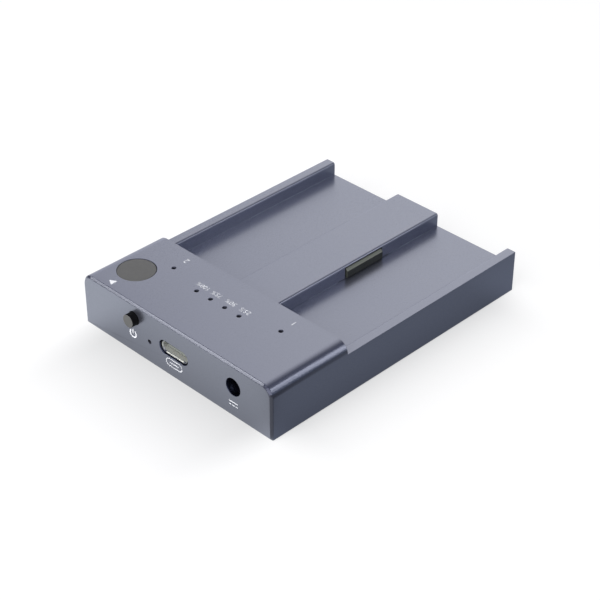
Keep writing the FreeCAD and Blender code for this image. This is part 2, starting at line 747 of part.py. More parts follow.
def make_main_board():
    """Long board under both bays, notched round the cover's posts."""
    gap = BOARD_EDGE_GAP
    board = bevelled_plate(-ROOM_HALF + gap, ROOM_HALF - gap, FRONT_T + gap, ROOM_END - gap,
                           BOARD_LOW, BOARD_TOP, BOARD_CORNER)
    low = BOARD_LOW - PAST
    high = BOARD_TOP + PAST
    cuts = [rod(M2_D / 2 + FIT_GAP, x, y, low, high) for x, y in BOARD_SCREWS]
    cuts += posts(low, high, gap)
    cuts += [tab for side in SIDES.values() for tab in socket_tabs(side, SEAT_GAP)]
    cuts += usb_legs(SEAT_GAP)
    cuts += dc_legs(SEAT_GAP)
    cuts += link_pin_bars(SEAT_GAP)
    cuts += bracket_legs(SEAT_GAP)
    return board.cut(cuts).removeSplitter()


def make_insulating_film():
    """Thin sheet on the underside of the bay floors, cut away round pad, posts and holder."""
    gap = BOARD_EDGE_GAP
    low = FLOOR_LOW - FILM_T
    sheet = box(-ROOM_HALF + gap, ROOM_HALF - gap, BLOCK_D + gap, ROOM_END - gap, low, FLOOR_LOW)
    cuts = [rib_pad(low - PAST, FLOOR_LOW + PAST, gap)]
    cuts += posts(low - PAST, FLOOR_LOW + PAST, gap)
    cuts.append(box(-HOLDER_HALF_W - gap, HOLDER_HALF_W + gap, CLAMP_Y - HOLDER_HALF_L - gap,
                    CLAMP_Y + HOLDER_HALF_L + gap, low - PAST, FLOOR_LOW + PAST))
    return sheet.cut(cuts).removeSplitter()


def make_upper_board():
    """L-shaped board under the top wall: a lobe for the switch, a strip for the lights.

    It is cut away where it would meet the front pads, the power switch or the inlet.
    """
    gap = BOARD_EDGE_GAP
    lobe_right = START_X + SWITCH_SIDE
    lobe_front = START_Y - SWITCH_SIDE / 2 - LOBE_MARGIN
    strip_right = BAY_X + STRIP_END
    outline = [
        (-ROOM_HALF + gap, lobe_front), (lobe_right, lobe_front), (lobe_right, UPPER_REAR - STRIP_DEPTH),
        (strip_right, UPPER_REAR - STRIP_DEPTH), (strip_right, UPPER_REAR), (-ROOM_HALF + gap, UPPER_REAR),
    ]
    board = outline_z(outline, UPPER_LOW, UPPER_TOP)
    board = board.makeChamfer(UPPER_CORNER, edges_where(board, lambda b: b.ZLength > UPPER_BOARD_T / 2))
    low = UPPER_LOW - PAST
    high = UPPER_TOP + PAST
    cuts = [rod(M16_D / 2 + FIT_GAP, x, y, low, high) for x, y in UPPER_SCREWS]
    cuts += link_pin_bars(SEAT_GAP)
    cuts += front_pads(low, high, gap)
    switch_half = POWER_SWITCH_SIDE / 2 + BRACKET_T + gap
    switch_back = POWER_SWITCH_BACK + gap
    cuts.append(box(POWER_X - switch_half, POWER_X + switch_half, FRONT_T, switch_back, low, high))
    inlet_half = DC_BODY_W / 2 + gap
    cuts.append(box(DC_X - inlet_half, DC_X + inlet_half, FRONT_T, DC_BACK + gap, low, high))
    return board.cut(cuts).removeSplitter()


# Pin header between the boards

def link_places():
    """Centres of the header's pins."""
    columns = [LINK_X + LINK_PITCH * (i - (LINK_COLUMNS - 1) / 2) for i in range(LINK_COLUMNS)]
    rows = [LINK_Y + LINK_PITCH * (i - (LINK_ROWS - 1) / 2) for i in range(LINK_ROWS)]
    return [(x, y) for x in columns for y in rows]


def link_pin_bars(gap):
    """Square pins from below the main board to above the upper board."""
    side = LINK_PIN_W + 2 * gap
    low = BOARD_LOW - TAIL_BELOW
    return [centred(x, y, side, side, low, UPPER_TOP + PIN_ABOVE) for x, y in link_places()]


def make_link_header():
    """Plastic spacer between the boards that carries the pins."""
    width = LINK_PITCH * (LINK_COLUMNS - 1) + LINK_MARGIN
    depth = LINK_PITCH * (LINK_ROWS - 1) + LINK_MARGIN
    body = centred(LINK_X, LINK_Y, width, depth, BOARD_TOP, UPPER_LOW)
    return body.cut(link_pin_bars(0))


def make_link_pins():
    """Square pins."""
    return Part.makeCompound(link_pin_bars(0))


# USB-C receptacle

def usb_legs(gap):
    """Four legs of the shell, down through the board."""
    width = USB_WALL + 2 * gap
    depth = USB_LEG_W + 2 * gap
    legs = []
    for side in (-1, 1):
        x = USB_X + side * (USB_W / 2 - USB_WALL / 2)
        for y in (FRONT_T + USB_FRONT_LEG, USB_BACK - USB_REAR_LEG):
            legs.append(centred(x, y, width, depth, BOARD_LOW - TAIL_BELOW, USB_Z))
    return legs


def make_usb_shell():
    """Drawn metal shell with a round-ended section and legs at its sides."""
    tube = stadium_y(USB_X, USB_Z, USB_W, USB_H, USB_SET_BACK, USB_BACK)
    inner = stadium_y(USB_X, USB_Z, USB_INNER_W, USB_INNER_H, USB_SET_BACK - PAST, USB_BACK + PAST)
    return tube.fuse(usb_legs(0)).cut(inner).removeSplitter()


def make_usb_tongue():
    """Insulator: a block that closes the shell's back and the tongue that stands in it."""
    base_front = USB_BACK - USB_BASE_D
    block = stadium_y(USB_X, USB_Z, USB_INNER_W, USB_INNER_H, base_front, USB_BACK)
    front = USB_SET_BACK + TONGUE_SET_BACK
    half = TONGUE_T / 2
    outline = [
        (base_front + JOIN, USB_Z - half), (front + TONGUE_NOSE, USB_Z - half),
        (front, USB_Z - half + TONGUE_NOSE), (front, USB_Z + half - TONGUE_NOSE),
        (front + TONGUE_NOSE, USB_Z + half), (base_front + JOIN, USB_Z + half),
    ]
    tongue = outline_x(outline, USB_X - TONGUE_W / 2, USB_X + TONGUE_W / 2)
    return fuse([block, tongue])


def make_usb_contacts():
    """Flat contacts on both faces of the tongue."""
    strips = []
    y0 = USB_SET_BACK + TONGUE_SET_BACK + USB_CONTACT_SET_BACK
    for face in (-1, 1):
        z = USB_Z + face * TONGUE_T / 2
        for i in range(USB_CONTACTS):
            x = USB_X + USB_PITCH * (i - (USB_CONTACTS - 1) / 2)
            strips.append(box(x - USB_CONTACT_W / 2, x + USB_CONTACT_W / 2, y0, y0 + USB_CONTACT_L,
                              z, z + face * USB_CONTACT_T))
    return Part.makeCompound(strips)


# DC inlet

def dc_legs(gap):
    """Solder tails of the inlet."""
    back = DC_BACK - DC_LEG_BACK
    width = DC_LEG_W + 2 * gap
    depth = DC_LEG_T + 2 * gap
    low = BOARD_LOW - TAIL_BELOW
    return [
        centred(DC_X, y, width, depth, low, BOARD_TOP + DC_LEG_T) for y in (back, back - DC_LEG_PITCH)
    ]


def make_dc_body():
    """Moulded body with bevelled top edges, the plug's bore, a spring groove and holes for the tails."""
    half = DC_BODY_W / 2
    top = BOARD_TOP + DC_BODY_H
    bevel = DC_BODY_BEVEL
    outline = [
        (DC_X - half, BOARD_TOP), (DC_X + half, BOARD_TOP), (DC_X + half, top - bevel),
        (DC_X + half - bevel, top), (DC_X - half + bevel, top), (DC_X - half, top - bevel),
    ]
    body = outline_y(outline, FRONT_T, DC_BACK)
    wall = DC_X + DC_BORE_D / 2
    cuts = [
        rod_y(DC_BORE_D / 2, DC_X, DC_Z, FRONT_T - PAST, FRONT_T + DC_BORE_DEPTH),
        rod_y(DC_PIN_D / 2, DC_X, DC_Z, FRONT_T, DC_BACK - DC_BACK_WALL),
        box(wall - DC_SPRING_BOW, wall + DC_SPRING_T, FRONT_T + DC_GROOVE_START, FRONT_T + DC_BORE_DEPTH,
            DC_Z - DC_SPRING_W / 2, DC_Z + DC_SPRING_W / 2),
    ]
    return body.cut(cuts + dc_legs(0)).removeSplitter()


def make_dc_pin():
    """Centre pin with a bevelled tip, riveted in the body's back."""
    tip = FRONT_T + DC_PIN_SET_BACK
    radius = DC_PIN_D / 2
    back = DC_BACK - DC_BACK_WALL
    profile = [(0, tip), (radius - DC_PIN_TIP, tip), (radius, tip + DC_PIN_TIP), (radius, back), (0, back)]
    return turned_y(profile, DC_X, DC_Z)


def make_dc_contacts():
    """Sleeve contact in its groove, bowed into the bore, and the solder tails."""
    wall = DC_X + DC_BORE_D / 2
    spring = bowed_leaf(wall, wall - DC_SPRING_BOW, DC_SPRING_T, FRONT_T + DC_GROOVE_START,
                        FRONT_T + DC_BORE_DEPTH, DC_Z - DC_SPRING_W / 2, DC_SPRING_W)
    return Part.makeCompound([spring] + dc_legs(0))


# Start button and switch

def make_start_button():
    """Round cap, flush with the top, with a flange under the wall."""
    radius = START_D / 2
    collar = radius + START_FLANGE
    rim = BODY_H - START_CHAMFER
    profile = [
        (0, FLANGE_LOW), (collar, FLANGE_LOW), (collar, FLANGE_TOP), (radius, FLANGE_TOP), (radius, rim),
        (radius - START_CHAMFER, BODY_H), (0, BODY_H),
    ]
    return turned(profile, START_X, START_Y)


def snap_dome(radius, rise):
    """Ring of (radius, height) points of a thin shallow cone with its rim at height 0."""
    return [(radius, 0), (0, rise), (0, rise - DOME_T), (radius - DOME_RIM_W, 0)]


def make_start_switch_body():
    """Square switch body with a round well for the plunger and dome, and two side terminals."""
    half = SWITCH_SIDE / 2
    body = bevelled_plate(START_X - half, START_X + half, START_Y - half, START_Y + half, UPPER_TOP,
                          UPPER_TOP + SWITCH_H, SWITCH_CORNER)
    ears = [
        centred(START_X + side * half, START_Y, TERMINAL_L, TERMINAL_W, UPPER_TOP, UPPER_TOP + TERMINAL_T)
        for side in (-1, 1)
    ]
    well = rod(SWITCH_PIN_R + SEAT_GAP, START_X, START_Y, UPPER_TOP + SWITCH_FLOOR,
               UPPER_TOP + SWITCH_H + PAST)
    return body.fuse(ears).cut(well).removeSplitter()


def make_start_switch_plunger():
    """Plunger from just above the dome's crown to the cap; the dome is as high as the cap travels."""
    low = UPPER_TOP + SWITCH_FLOOR + START_TRAVEL + RUN_GAP
    return rod(SWITCH_PIN_R, START_X, START_Y, low, FLANGE_LOW)


def make_start_switch_dome():
    """Snap dome on the floor of the well."""
    floor = UPPER_TOP + SWITCH_FLOOR
    ring = snap_dome(SWITCH_PIN_R - DOME_RIM_GAP, START_TRAVEL)
    return turned([(r, floor + h) for r, h in ring], START_X, START_Y)


# Power button and switch

def make_power_button():
    """Round cap through the port face with a bevelled rim and a flange behind the wall."""
    radius = POWER_D / 2
    collar = radius + POWER_FLANGE
    profile = [
        (0, -POWER_PROUD), (radius - POWER_CHAMFER, -POWER_PROUD), (radius, POWER_CHAMFER - POWER_PROUD),
        (radius, POWER_FLANGE_FRONT), (collar, POWER_FLANGE_FRONT), (collar, POWER_FLANGE_BACK),
        (0, POWER_FLANGE_BACK),
    ]
    return turned_y(profile, POWER_X, POWER_Z)


def make_power_switch_body():
    """Upright square switch with a round well towards the button."""
    half = POWER_SWITCH_SIDE / 2
    body = box(POWER_X - half, POWER_X + half, POWER_SWITCH_FRONT, POWER_SWITCH_BACK,
               POWER_Z - half, POWER_Z + half)
    along = edges_where(body, lambda b: b.YLength > POWER_SWITCH_D / 2)
    body = body.makeChamfer(POWER_SWITCH_CORNER, along)
    well = rod_y(POWER_PIN_R + SEAT_GAP, POWER_X, POWER_Z, POWER_SWITCH_FRONT - PAST, POWER_WELL_END)
    return body.cut(well).removeSplitter()


def make_power_switch_plunger():
    """Plunger between the cap and the dome."""
    return rod_y(POWER_PIN_R, POWER_X, POWER_Z, POWER_FLANGE_BACK, POWER_PIN_BACK)


def make_power_switch_dome():
    """Snap dome at the bottom of the well, its crown towards the plunger."""
    ring = snap_dome(POWER_PIN_R - DOME_RIM_GAP, POWER_TRAVEL)
    return turned_y([(r, POWER_WELL_END - h) for r, h in ring], POWER_X, POWER_Z)


def bracket_legs(gap):
    """Two flat legs of the switch bracket, down through the board."""
    y = (POWER_SWITCH_FRONT + POWER_SWITCH_BACK) / 2
    legs = []
    for side in (-1, 1):
        x = POWER_X + side * (POWER_SWITCH_SIDE / 2 + BRACKET_T / 2)
        legs.append(centred(x, y, BRACKET_T + 2 * gap, BRACKET_LEG_W + 2 * gap, BOARD_LOW - TAIL_BELOW,
                            BOARD_TOP + JOIN))
    return legs


def make_power_switch_bracket():
    """Folded bracket: a shelf under the switch, two side walls and legs in the board."""
    half = POWER_SWITCH_SIDE / 2
    low = POWER_Z - half - BRACKET_T
    outline = [
        (POWER_X - half - BRACKET_T, BOARD_TOP), (POWER_X - half, BOARD_TOP), (POWER_X - half, low),
        (POWER_X + half, low), (POWER_X + half, BOARD_TOP), (POWER_X + half + BRACKET_T, BOARD_TOP),
        (POWER_X + half + BRACKET_T, POWER_Z), (POWER_X + half, POWER_Z), (POWER_X + half, low + BRACKET_T),
        (POWER_X - half, low + BRACKET_T), (POWER_X - half, POWER_Z), (POWER_X - half - BRACKET_T, POWER_Z),
    ]
    return fuse([outline_y(outline, POWER_SWITCH_FRONT, POWER_SWITCH_BACK)] + bracket_legs(0))


# Light pipes and lights

def pipe_pin(x, y):
    """Clear pin in its hole in the top wall."""
    return rod(LIGHT_D / 2 - LIGHT_GAP, x, y, ROOM_TOP - JOIN, BODY_H - LIGHT_SET_BACK)


def make_progress_light_pipes():
    """Four pins on one moulded bar under the top wall."""
    half = PROGRESS_PITCH * (PROGRESS_LIGHTS - 1) / 2 + PIPE_BAR_W / 2
    bar = box(USB_X - half, USB_X + half, PROGRESS_Y - PIPE_BAR_W / 2, PROGRESS_Y + PIPE_BAR_W / 2,
              ROOM_TOP - PIPE_BAR_T, ROOM_TOP)
    return fuse([bar] + [pipe_pin(x, y) for x, y in PROGRESS_PLACES])


def make_bay_light_pipes():
    """One pin with an oblong flange for each bay."""
    pipes = []
    for x, y in BAY_LIGHT_PLACES:
        flange = centred(x, y, PIPE_FLANGE_W, PIPE_BAR_W, ROOM_TOP - PIPE_BAR_T, ROOM_TOP)
        pipes.append(fuse([flange, pipe_pin(x, y)]))
    return Part.makeCompound(pipes)


def make_power_light_pipe():
    """Clear pin through the port wall with a square flange that stands on the board behind it."""
    pin = rod_y(LIGHT_D / 2 - LIGHT_GAP, POWER_LIGHT_X, POWER_LIGHT_Z, LIGHT_SET_BACK, FRONT_T + JOIN)
    half = PIPE_FLANGE_W / 2
    flange = box(POWER_LIGHT_X - half, POWER_LIGHT_X + half, FRONT_T, FRONT_T + PIPE_BAR_T,
                 BOARD_TOP, POWER_LIGHT_Z + half)
    return fuse([pin, flange])


def led(x, y, z):
    """Surface-mount light: a flat base and a narrower clear top."""
    base = centred(x, y, LED_L, LED_W, z, z + LED_BASE_H)
    lens = centred(x, y, LED_LENS_L, LED_LENS_W, z + LED_BASE_H, z + LED_H)
    return fuse([base, lens])


def make_status_leds():
    """Six lights on the upper board, under the pipes."""
    return Part.makeCompound([led(x, y, UPPER_TOP) for x, y in PROGRESS_PLACES + BAY_LIGHT_PLACES])


def make_power_led():
    """Light on the main board behind the port face."""
    return led(POWER_LIGHT_X, POWER_LED_FRONT + LED_W / 2, BOARD_TOP)


# M.2 connectors

def socket_tabs(side, gap):
    """Solder tabs under the ends of a connector."""
    y = SOCKET_BACK + SOCKET_D / 2
    width = TAB_SIDE + 2 * gap
    return [
        centred(side * BAY_X + end * (SOCKET_W / 2 - TAB_IN), y, width, width, BOARD_LOW + TAB_SHORT,
                BOARD_TOP + JOIN)
        for end in (-1, 1)
    ]


def contact_places(side):
    """X places of the contacts, upper and lower face in turn, with a gap at the key."""
    step = CONTACT_PITCH / 2
    reach = int((SLOT_HALF - CONTACT_MARGIN) / step + SEAT_GAP)
    upper = []
    lower = []
    for i in range(-reach, reach + 1):
        offset = i * step
        if abs(offset - SOCKET_KEY_X) < SOCKET_KEY_CLEAR:
            continue
        row = upper if i % 2 else lower
        row.append(side * BAY_X + offset)
    return upper, lower


def make_socket(side):
    """Connector housing: card slot with a keyed web, contact trenches, a bevelled mouth and tabs."""
    x = side * BAY_X
    half = SOCKET_W / 2
    low = CARD_Z - SOCKET_SLOT_H / 2
    high = CARD_Z + SOCKET_SLOT_H / 2
    outline = [
        (SOCKET_BACK + SOCKET_BEVEL, SOCKET_TOP), (SOCKET_FRONT - SOCKET_BEVEL, SOCKET_TOP),
        (SOCKET_FRONT, SOCKET_TOP - SOCKET_BEVEL), (SOCKET_FRONT, BOARD_TOP),
        (SOCKET_BACK + RELIEF_D, BOARD_TOP), (SOCKET_BACK + RELIEF_D, BOARD_TOP + RELIEF_H),
        (SOCKET_BACK, BOARD_TOP + RELIEF_H), (SOCKET_BACK, SOCKET_TOP - SOCKET_BEVEL),
    ]
    body = outline_x(outline, x - half, x + half)
    mouth_ring = [
        (SOCKET_FRONT + SEAT_GAP, low - MOUTH_BEVEL), (SOCKET_FRONT - MOUTH_BEVEL, low),
        (SOCKET_FRONT - MOUTH_BEVEL, high), (SOCKET_FRONT + SEAT_GAP, high + MOUTH_BEVEL),
    ]
    key_x = x + SOCKET_KEY_X
    cuts = [outline_x(mouth_ring, x - SLOT_HALF, x + SLOT_HALF)]
    trench_front = SOCKET_FRONT - TRENCH_STOP
    deep = low - TRENCH_H
    for x0, x1 in ((x - SLOT_HALF, key_x - SOCKET_KEY_W / 2), (key_x + SOCKET_KEY_W / 2, x + SLOT_HALF)):
        cuts.append(box(x0, x1, SLOT_BACK, SOCKET_FRONT + PAST, low, high))
        cuts.append(box(x0 + SEAT_GAP, x1 - SEAT_GAP, SLOT_BACK, trench_front, deep, high + TRENCH_H))
    return fuse([body.cut(cuts)] + socket_tabs(side, 0))


def make_contacts(side):
    """Sprung contact strips from the back of the slot to just clear of the card's two faces."""
    upper, lower = contact_places(side)
    front = SOCKET_FRONT - CONTACT_STOP
    strips = []
    for places, sign in ((upper, 1), (lower, -1)):
        root = CARD_Z + sign * (SOCKET_SLOT_H / 2 + TRENCH_H)
        tip = CARD_Z + sign * (CARD_T / 2 + CARD_GAP)
        outline = [(SLOT_BACK, root), (front, tip + sign * CONTACT_LIFT), (front - CONTACT_NOSE, tip),
                   (SLOT_BACK, root - sign * CONTACT_T)]
        for x in places:
            strips.append(outline_x(outline, x - CONTACT_W / 2, x + CONTACT_W / 2))
    return Part.makeCompound(strips)


# Side clamps

def make_clamp(side):
    """Clamp: a pad that looks out of the window, and a longer foot held behind the rib's face."""
    front = RIB_HALF + CLAMP_PROUD
    back = front - CLAMP_PAD_T
    face = POCKET_X - SEAT_GAP
    half = CLAMP_PAD_L / 2
    ring = [
        (back, CLAMP_PAD_LOW), (front, CLAMP_PAD_LOW), (front, CLAMP_PAD_TOP - CLAMP_LEAD),
        (front - CLAMP_LEAD, CLAMP_PAD_TOP), (back, CLAMP_PAD_TOP),
    ]
    pad = outline_y([(side * x, z) for x, z in ring], CLAMP_Y - half, CLAMP_Y + half)
    foot = box(side * CLAMP_BACK, side * face, CLAMP_Y - CLAMP_FOOT_L / 2, CLAMP_Y + CLAMP_FOOT_L / 2,
               CLAMP_LOW, CLAMP_TOP)
    neck = box(side * (face - CLAMP_NECK), side * (back + JOIN), CLAMP_Y - half, CLAMP_Y + half,
               CLAMP_PAD_LOW, CLAMP_TOP)
    return fuse([foot, neck, pad])


def make_clamp_spring(side):
    """Bowed leaf between the holder's middle wall and the back of a clamp."""
    near = HOLDER_WALL / 2
    leaf = bowed_leaf(near, CLAMP_BACK - LEAF_T, LEAF_T, CLAMP_Y - LEAF_L / 2, CLAMP_Y + LEAF_L / 2,
                      HOLDER_TOP + LEAF_LIFT, LEAF_W)
    return leaf if side > 0 else leaf.mirror(V(0, 0, 0), V(1, 0, 0))


def make_clamp_holder():
    """Moulded plate that closes the pocket, with a middle wall and end stops for the leaves."""
    plate = bevelled_plate(-HOLDER_HALF_W, HOLDER_HALF_W, CLAMP_Y - HOLDER_HALF_L, CLAMP_Y + HOLDER_HALF_L,
                           FLOOR_LOW, HOLDER_TOP, HOLDER_CORNER)
    stop_inner = LEAF_L / 2 + FIT_GAP
    stop_outer = stop_inner + HOLDER_STOP
    reach = HOLDER_WALL / 2 + HOLDER_STOP
    wall = box(-HOLDER_WALL / 2, HOLDER_WALL / 2, CLAMP_Y - stop_outer, CLAMP_Y + stop_outer,
               FLOOR_LOW, CLAMP_TOP)
    stops = [
        box(-reach, reach, CLAMP_Y + end * stop_inner, CLAMP_Y + end * stop_outer, FLOOR_LOW, CLAMP_TOP)
        for end in (-1, 1)
    ]
    sinks = []
    for end in (-1, 1):
        at = V(0, CLAMP_Y + end * HOLDER_SCREW_Y, FLOOR_LOW)
        sinks.append(Part.makeCone(HOLDER_HEAD_D / 2 + RUN_GAP, M16_D / 2 + RUN_GAP, HOLDER_T, at, UP))
    return fuse([plate, wall] + stops).cut(sinks).removeSplitter()


def make_clamp_holder_screws():
    """Two countersunk screws in the holder's ends."""
    tip = HOLDER_THREAD_TOP - FIT_GAP
    return Part.makeCompound([
        flat_screw(0, CLAMP_Y + end * HOLDER_SCREW_Y, FLOOR_LOW, HOLDER_HEAD_D, HOLDER_T, M16_D, tip)
        for end in (-1, 1)
    ])


# Parts on the underside of the main board

def under_board(x, y, width, depth, height):
    """Block soldered to the underside of the main board."""
    return centred(x, y, width, depth, BOARD_LOW - height, BOARD_LOW)


def chip(x, y, side, thickness):
    """Square package under the main board with a bevelled lower edge."""
    body = under_board(x, y, side, side, thickness)
    low = edges_where(body, lambda b: flat_at(b.ZMin, b.ZMax, BOARD_LOW - thickness))
    return body.makeChamfer(CHIP_BEVEL, low)


def make_bridge_chips():
    """One bridge chip for each bay."""
    return Part.makeCompound([chip(side * BAY_X, CHIP_Y, CHIP_SIDE, CHIP_T) for side in SIDES.values()])


def make_thermal_pads():
    """Soft pads between the bridge chips and the cover."""
    return Part.makeCompound([
        centred(side * BAY_X, CHIP_Y, PAD_SIDE, PAD_SIDE, COVER_T, BOARD_LOW - CHIP_T)
        for side in SIDES.values()
    ])


def make_controller_chip():
    """Controller under the rib."""
    return chip(0, CONTROLLER_Y, CONTROLLER_SIDE, CONTROLLER_T)


def small_outline(x, y):
    """Eight-leg memory package: bevelled body and sloping legs."""
    top = BOARD_LOW - FLASH_LIFT
    low = top - FLASH_T
    middle = (top + low) / 2
    body = centred(x, y, FLASH_W, FLASH_L, low, top)
    body = body.makeChamfer(CHIP_BEVEL, edges_where(body, lambda b: flat_at(b.ZMin, b.ZMax, low)))
    legs = []
    for end in (-1, 1):
        root = x + end * (FLASH_W / 2 - JOIN)
        toe = x + end * (FLASH_W / 2 + FLASH_LEG_REACH)
        ring = [
            (root, middle), (root, middle - FLASH_LEG_T), (toe, BOARD_LOW - FLASH_LEG_T), (toe, BOARD_LOW),
        ]
        for i in range(FLASH_LEGS):
            leg_y = y + FLASH_LEG_PITCH * (i - (FLASH_LEGS - 1) / 2)
            legs.append(outline_y(ring, leg_y - FLASH_LEG_W / 2, leg_y + FLASH_LEG_W / 2))
    return fuse([body] + legs)


def make_flash_chips():
    """Firmware memories behind the bridge chips and the controller."""
    places = [(side * BAY_X, CHIP_Y + FLASH_FROM_CHIP) for side in SIDES.values()]
    places.append((0.0, CONTROLLER_Y + FLASH_FROM_CONTROLLER))
    return Part.makeCompound([small_outline(x, y) for x, y in places])


def make_regulator_chips():
    """Voltage regulators near the inductors."""
    places = [(side * (BAY_X - REGULATOR_FROM_BAY), BLOCK_D + POWER_ROW) for side in SIDES.values()]
    places.append((BAY_X + INPUT_FROM_BAY, BLOCK_D - INPUT_REGULATOR))
    return Part.makeCompound([chip(x, y, REGULATOR_SIDE, REGULATOR_T) for x, y in places])


def make_power_inductors():
    """Moulded inductors with bevelled corners."""
    places = [(side * (BAY_X - INDUCTOR_FROM_BAY), BLOCK_D + POWER_ROW) for side in SIDES.values()]
    places.append((BAY_X + INPUT_FROM_BAY, BLOCK_D - INPUT_INDUCTOR))
    places.append((CORE_INDUCTOR_X, BLOCK_D - INPUT_REGULATOR))
    half = INDUCTOR_SIDE / 2
    return Part.makeCompound([
        bevelled_plate(x - half, x + half, y - half, y + half, BOARD_LOW - INDUCTOR_H, BOARD_LOW,
                       INDUCTOR_CORNER)
        for x, y in places
    ])


def make_crystals():
    """Metal-can crystals."""
    places = [(side * (BAY_X - CRYSTAL_FROM_CHIP), CHIP_Y - CRYSTAL_SHIFT) for side in SIDES.values()]
    places.append((CONTROLLER_CRYSTAL[0], CONTROLLER_Y + CONTROLLER_CRYSTAL[1]))
    return Part.makeCompound([
        bevelled_plate(x - CRYSTAL_W / 2, x + CRYSTAL_W / 2, y - CRYSTAL_L / 2, y + CRYSTAL_L / 2,
                       BOARD_LOW - CRYSTAL_T, BOARD_LOW, CRYSTAL_CORNER)
        for x, y in places
    ])


def make_filter_capacitors():
    """Two polymer cans on square bases between the USB-C receptacle and the inlet."""
    low = BOARD_TOP + CAN_BASE_H
    top = UPPER_LOW - CAN_TOP_GAP
    radius = CAN_D / 2
    profile = [(0, low - JOIN), (radius, low - JOIN), (radius, top - CAN_CROWN), (radius - CAN_CROWN, top),
               (0, top)]
    cans = []
    for i in range(2):
        y = FRONT_T + CAN_FRONT + CAN_PITCH * i
        base = centred(CAN_X, y, CAN_BASE, CAN_BASE, BOARD_TOP, low)
        cans.append(fuse([base, turned(profile, CAN_X, y)]))
    return Part.makeCompound(cans)


def make_ceramic_capacitors():
    """Rows of ceramic capacitors in front of and behind each bridge chip."""
    caps = []
    for side in SIDES.values():
        for i in range(SMALL_COUNT):
            x = side * BAY_X + CAPACITOR_PITCH * (i - (SMALL_COUNT - 1) / 2)
            caps.append(under_board(x, CHIP_Y + SMALL_ROW, SMALL_L, SMALL_W, SMALL_T))
        for i in range(BULK_COUNT):
            x = side * BAY_X + CAPACITOR_PITCH * (i - (BULK_COUNT - 1) / 2)
            caps.append(under_board(x, CHIP_Y - BULK_ROW, BULK_L, BULK_W, BULK_T))
    return Part.makeCompound(caps)


def make_chip_resistors():
    """A column of small resistors on each side of the rib."""
    chips = []
    for side in SIDES.values():
        x = side * (BAY_X - RESISTOR_FROM_BAY)
        for i in range(RESISTOR_COUNT):
            y = CHIP_Y + RESISTOR_START + RESISTOR_PITCH * i
            chips.append(under_board(x, y, RESISTOR_L, RESISTOR_W, RESISTOR_T))
    return Part.makeCompound(chips)


def main():
    """Make every piece and write one file for each."""
    os.makedirs("parts", exist_ok=True)
    pieces = {
        "top_shell": make_top_shell(),
        "bottom_cover": make_bottom_cover(),
        "rubber_feet": make_rubber_feet(),
        "cover_screws": make_cover_screws(),
        "main_board": make_main_board(),
        "board_screws": make_board_screws(),
        "insulating_film": make_insulating_film(),
        "upper_board": make_upper_board(),
        "upper_board_screws": make_upper_board_screws(),
        "link_header": make_link_header(),
        "link_pins": make_link_pins(),
        "usb_c_shell": make_usb_shell(),
        "usb_c_tongue": make_usb_tongue(),
        "usb_c_contacts": make_usb_contacts(),
        "dc_inlet_body": make_dc_body(),
        "dc_inlet_pin": make_dc_pin(),
        "dc_inlet_contacts": make_dc_contacts(),
        "start_button": make_start_button(),
        "start_switch_body": make_start_switch_body(),
        "start_switch_plunger": make_start_switch_plunger(),
        "start_switch_dome": make_start_switch_dome(),
        "power_button": make_power_button(),
        "power_switch_body": make_power_switch_body(),
        "power_switch_plunger": make_power_switch_plunger(),
        "power_switch_dome": make_power_switch_dome(),
        "power_switch_bracket": make_power_switch_bracket(),
        "progress_light_pipes": make_progress_light_pipes(),
        "bay_light_pipes": make_bay_light_pipes(),
        "power_light_pipe": make_power_light_pipe(),
        "status_leds": make_status_leds(),
        "power_led": make_power_led(),
        "clamp_holder": make_clamp_holder(),
        "clamp_holder_screws": make_clamp_holder_screws(),
        "bridge_chips": make_bridge_chips(),
        "thermal_pads": make_thermal_pads(),
        "controller_chip": make_controller_chip(),
        "flash_chips": make_flash_chips(),
        "regulator_chips": make_regulator_chips(),
        "crystals": make_crystals(),
        "power_inductors": make_power_inductors(),
        "filter_capacitors": make_filter_capacitors(),
        "ceramic_capacitors": make_ceramic_capacitors(),
        "chip_resistors": make_chip_resistors(),
    }
    for name, side in SIDES.items():
        pieces["m2_connector_" + name] = make_socket(side)
        pieces["m2_contacts_" + name] = make_contacts(side)
        pieces["clamp_" + name] = make_clamp(side)
        pieces["clamp_spring_" + name] = make_clamp_spring(side)
    for name, shape in pieces.items():
        save(name, shape)
        print(name, len(shape.Solids), "solids", shape.isValid(), round(shape.Volume, 2), "mm3")


main()
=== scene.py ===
# %% [markdown]
# # A two-bay drive duplicator, dressed in Blender
#
# The box is one milled block of blue-grey anodised aluminium. At its front sits a closed block with the
# ports and buttons, behind it lie two open channels for bare flash drives. The imported CAD model is the
# frame: every piece made here sits on a CAD node, and moves with that node's body.

# %% Load the frame
import bpy
import bmesh
import json
import math
import numpy as np
from mathutils import Matrix


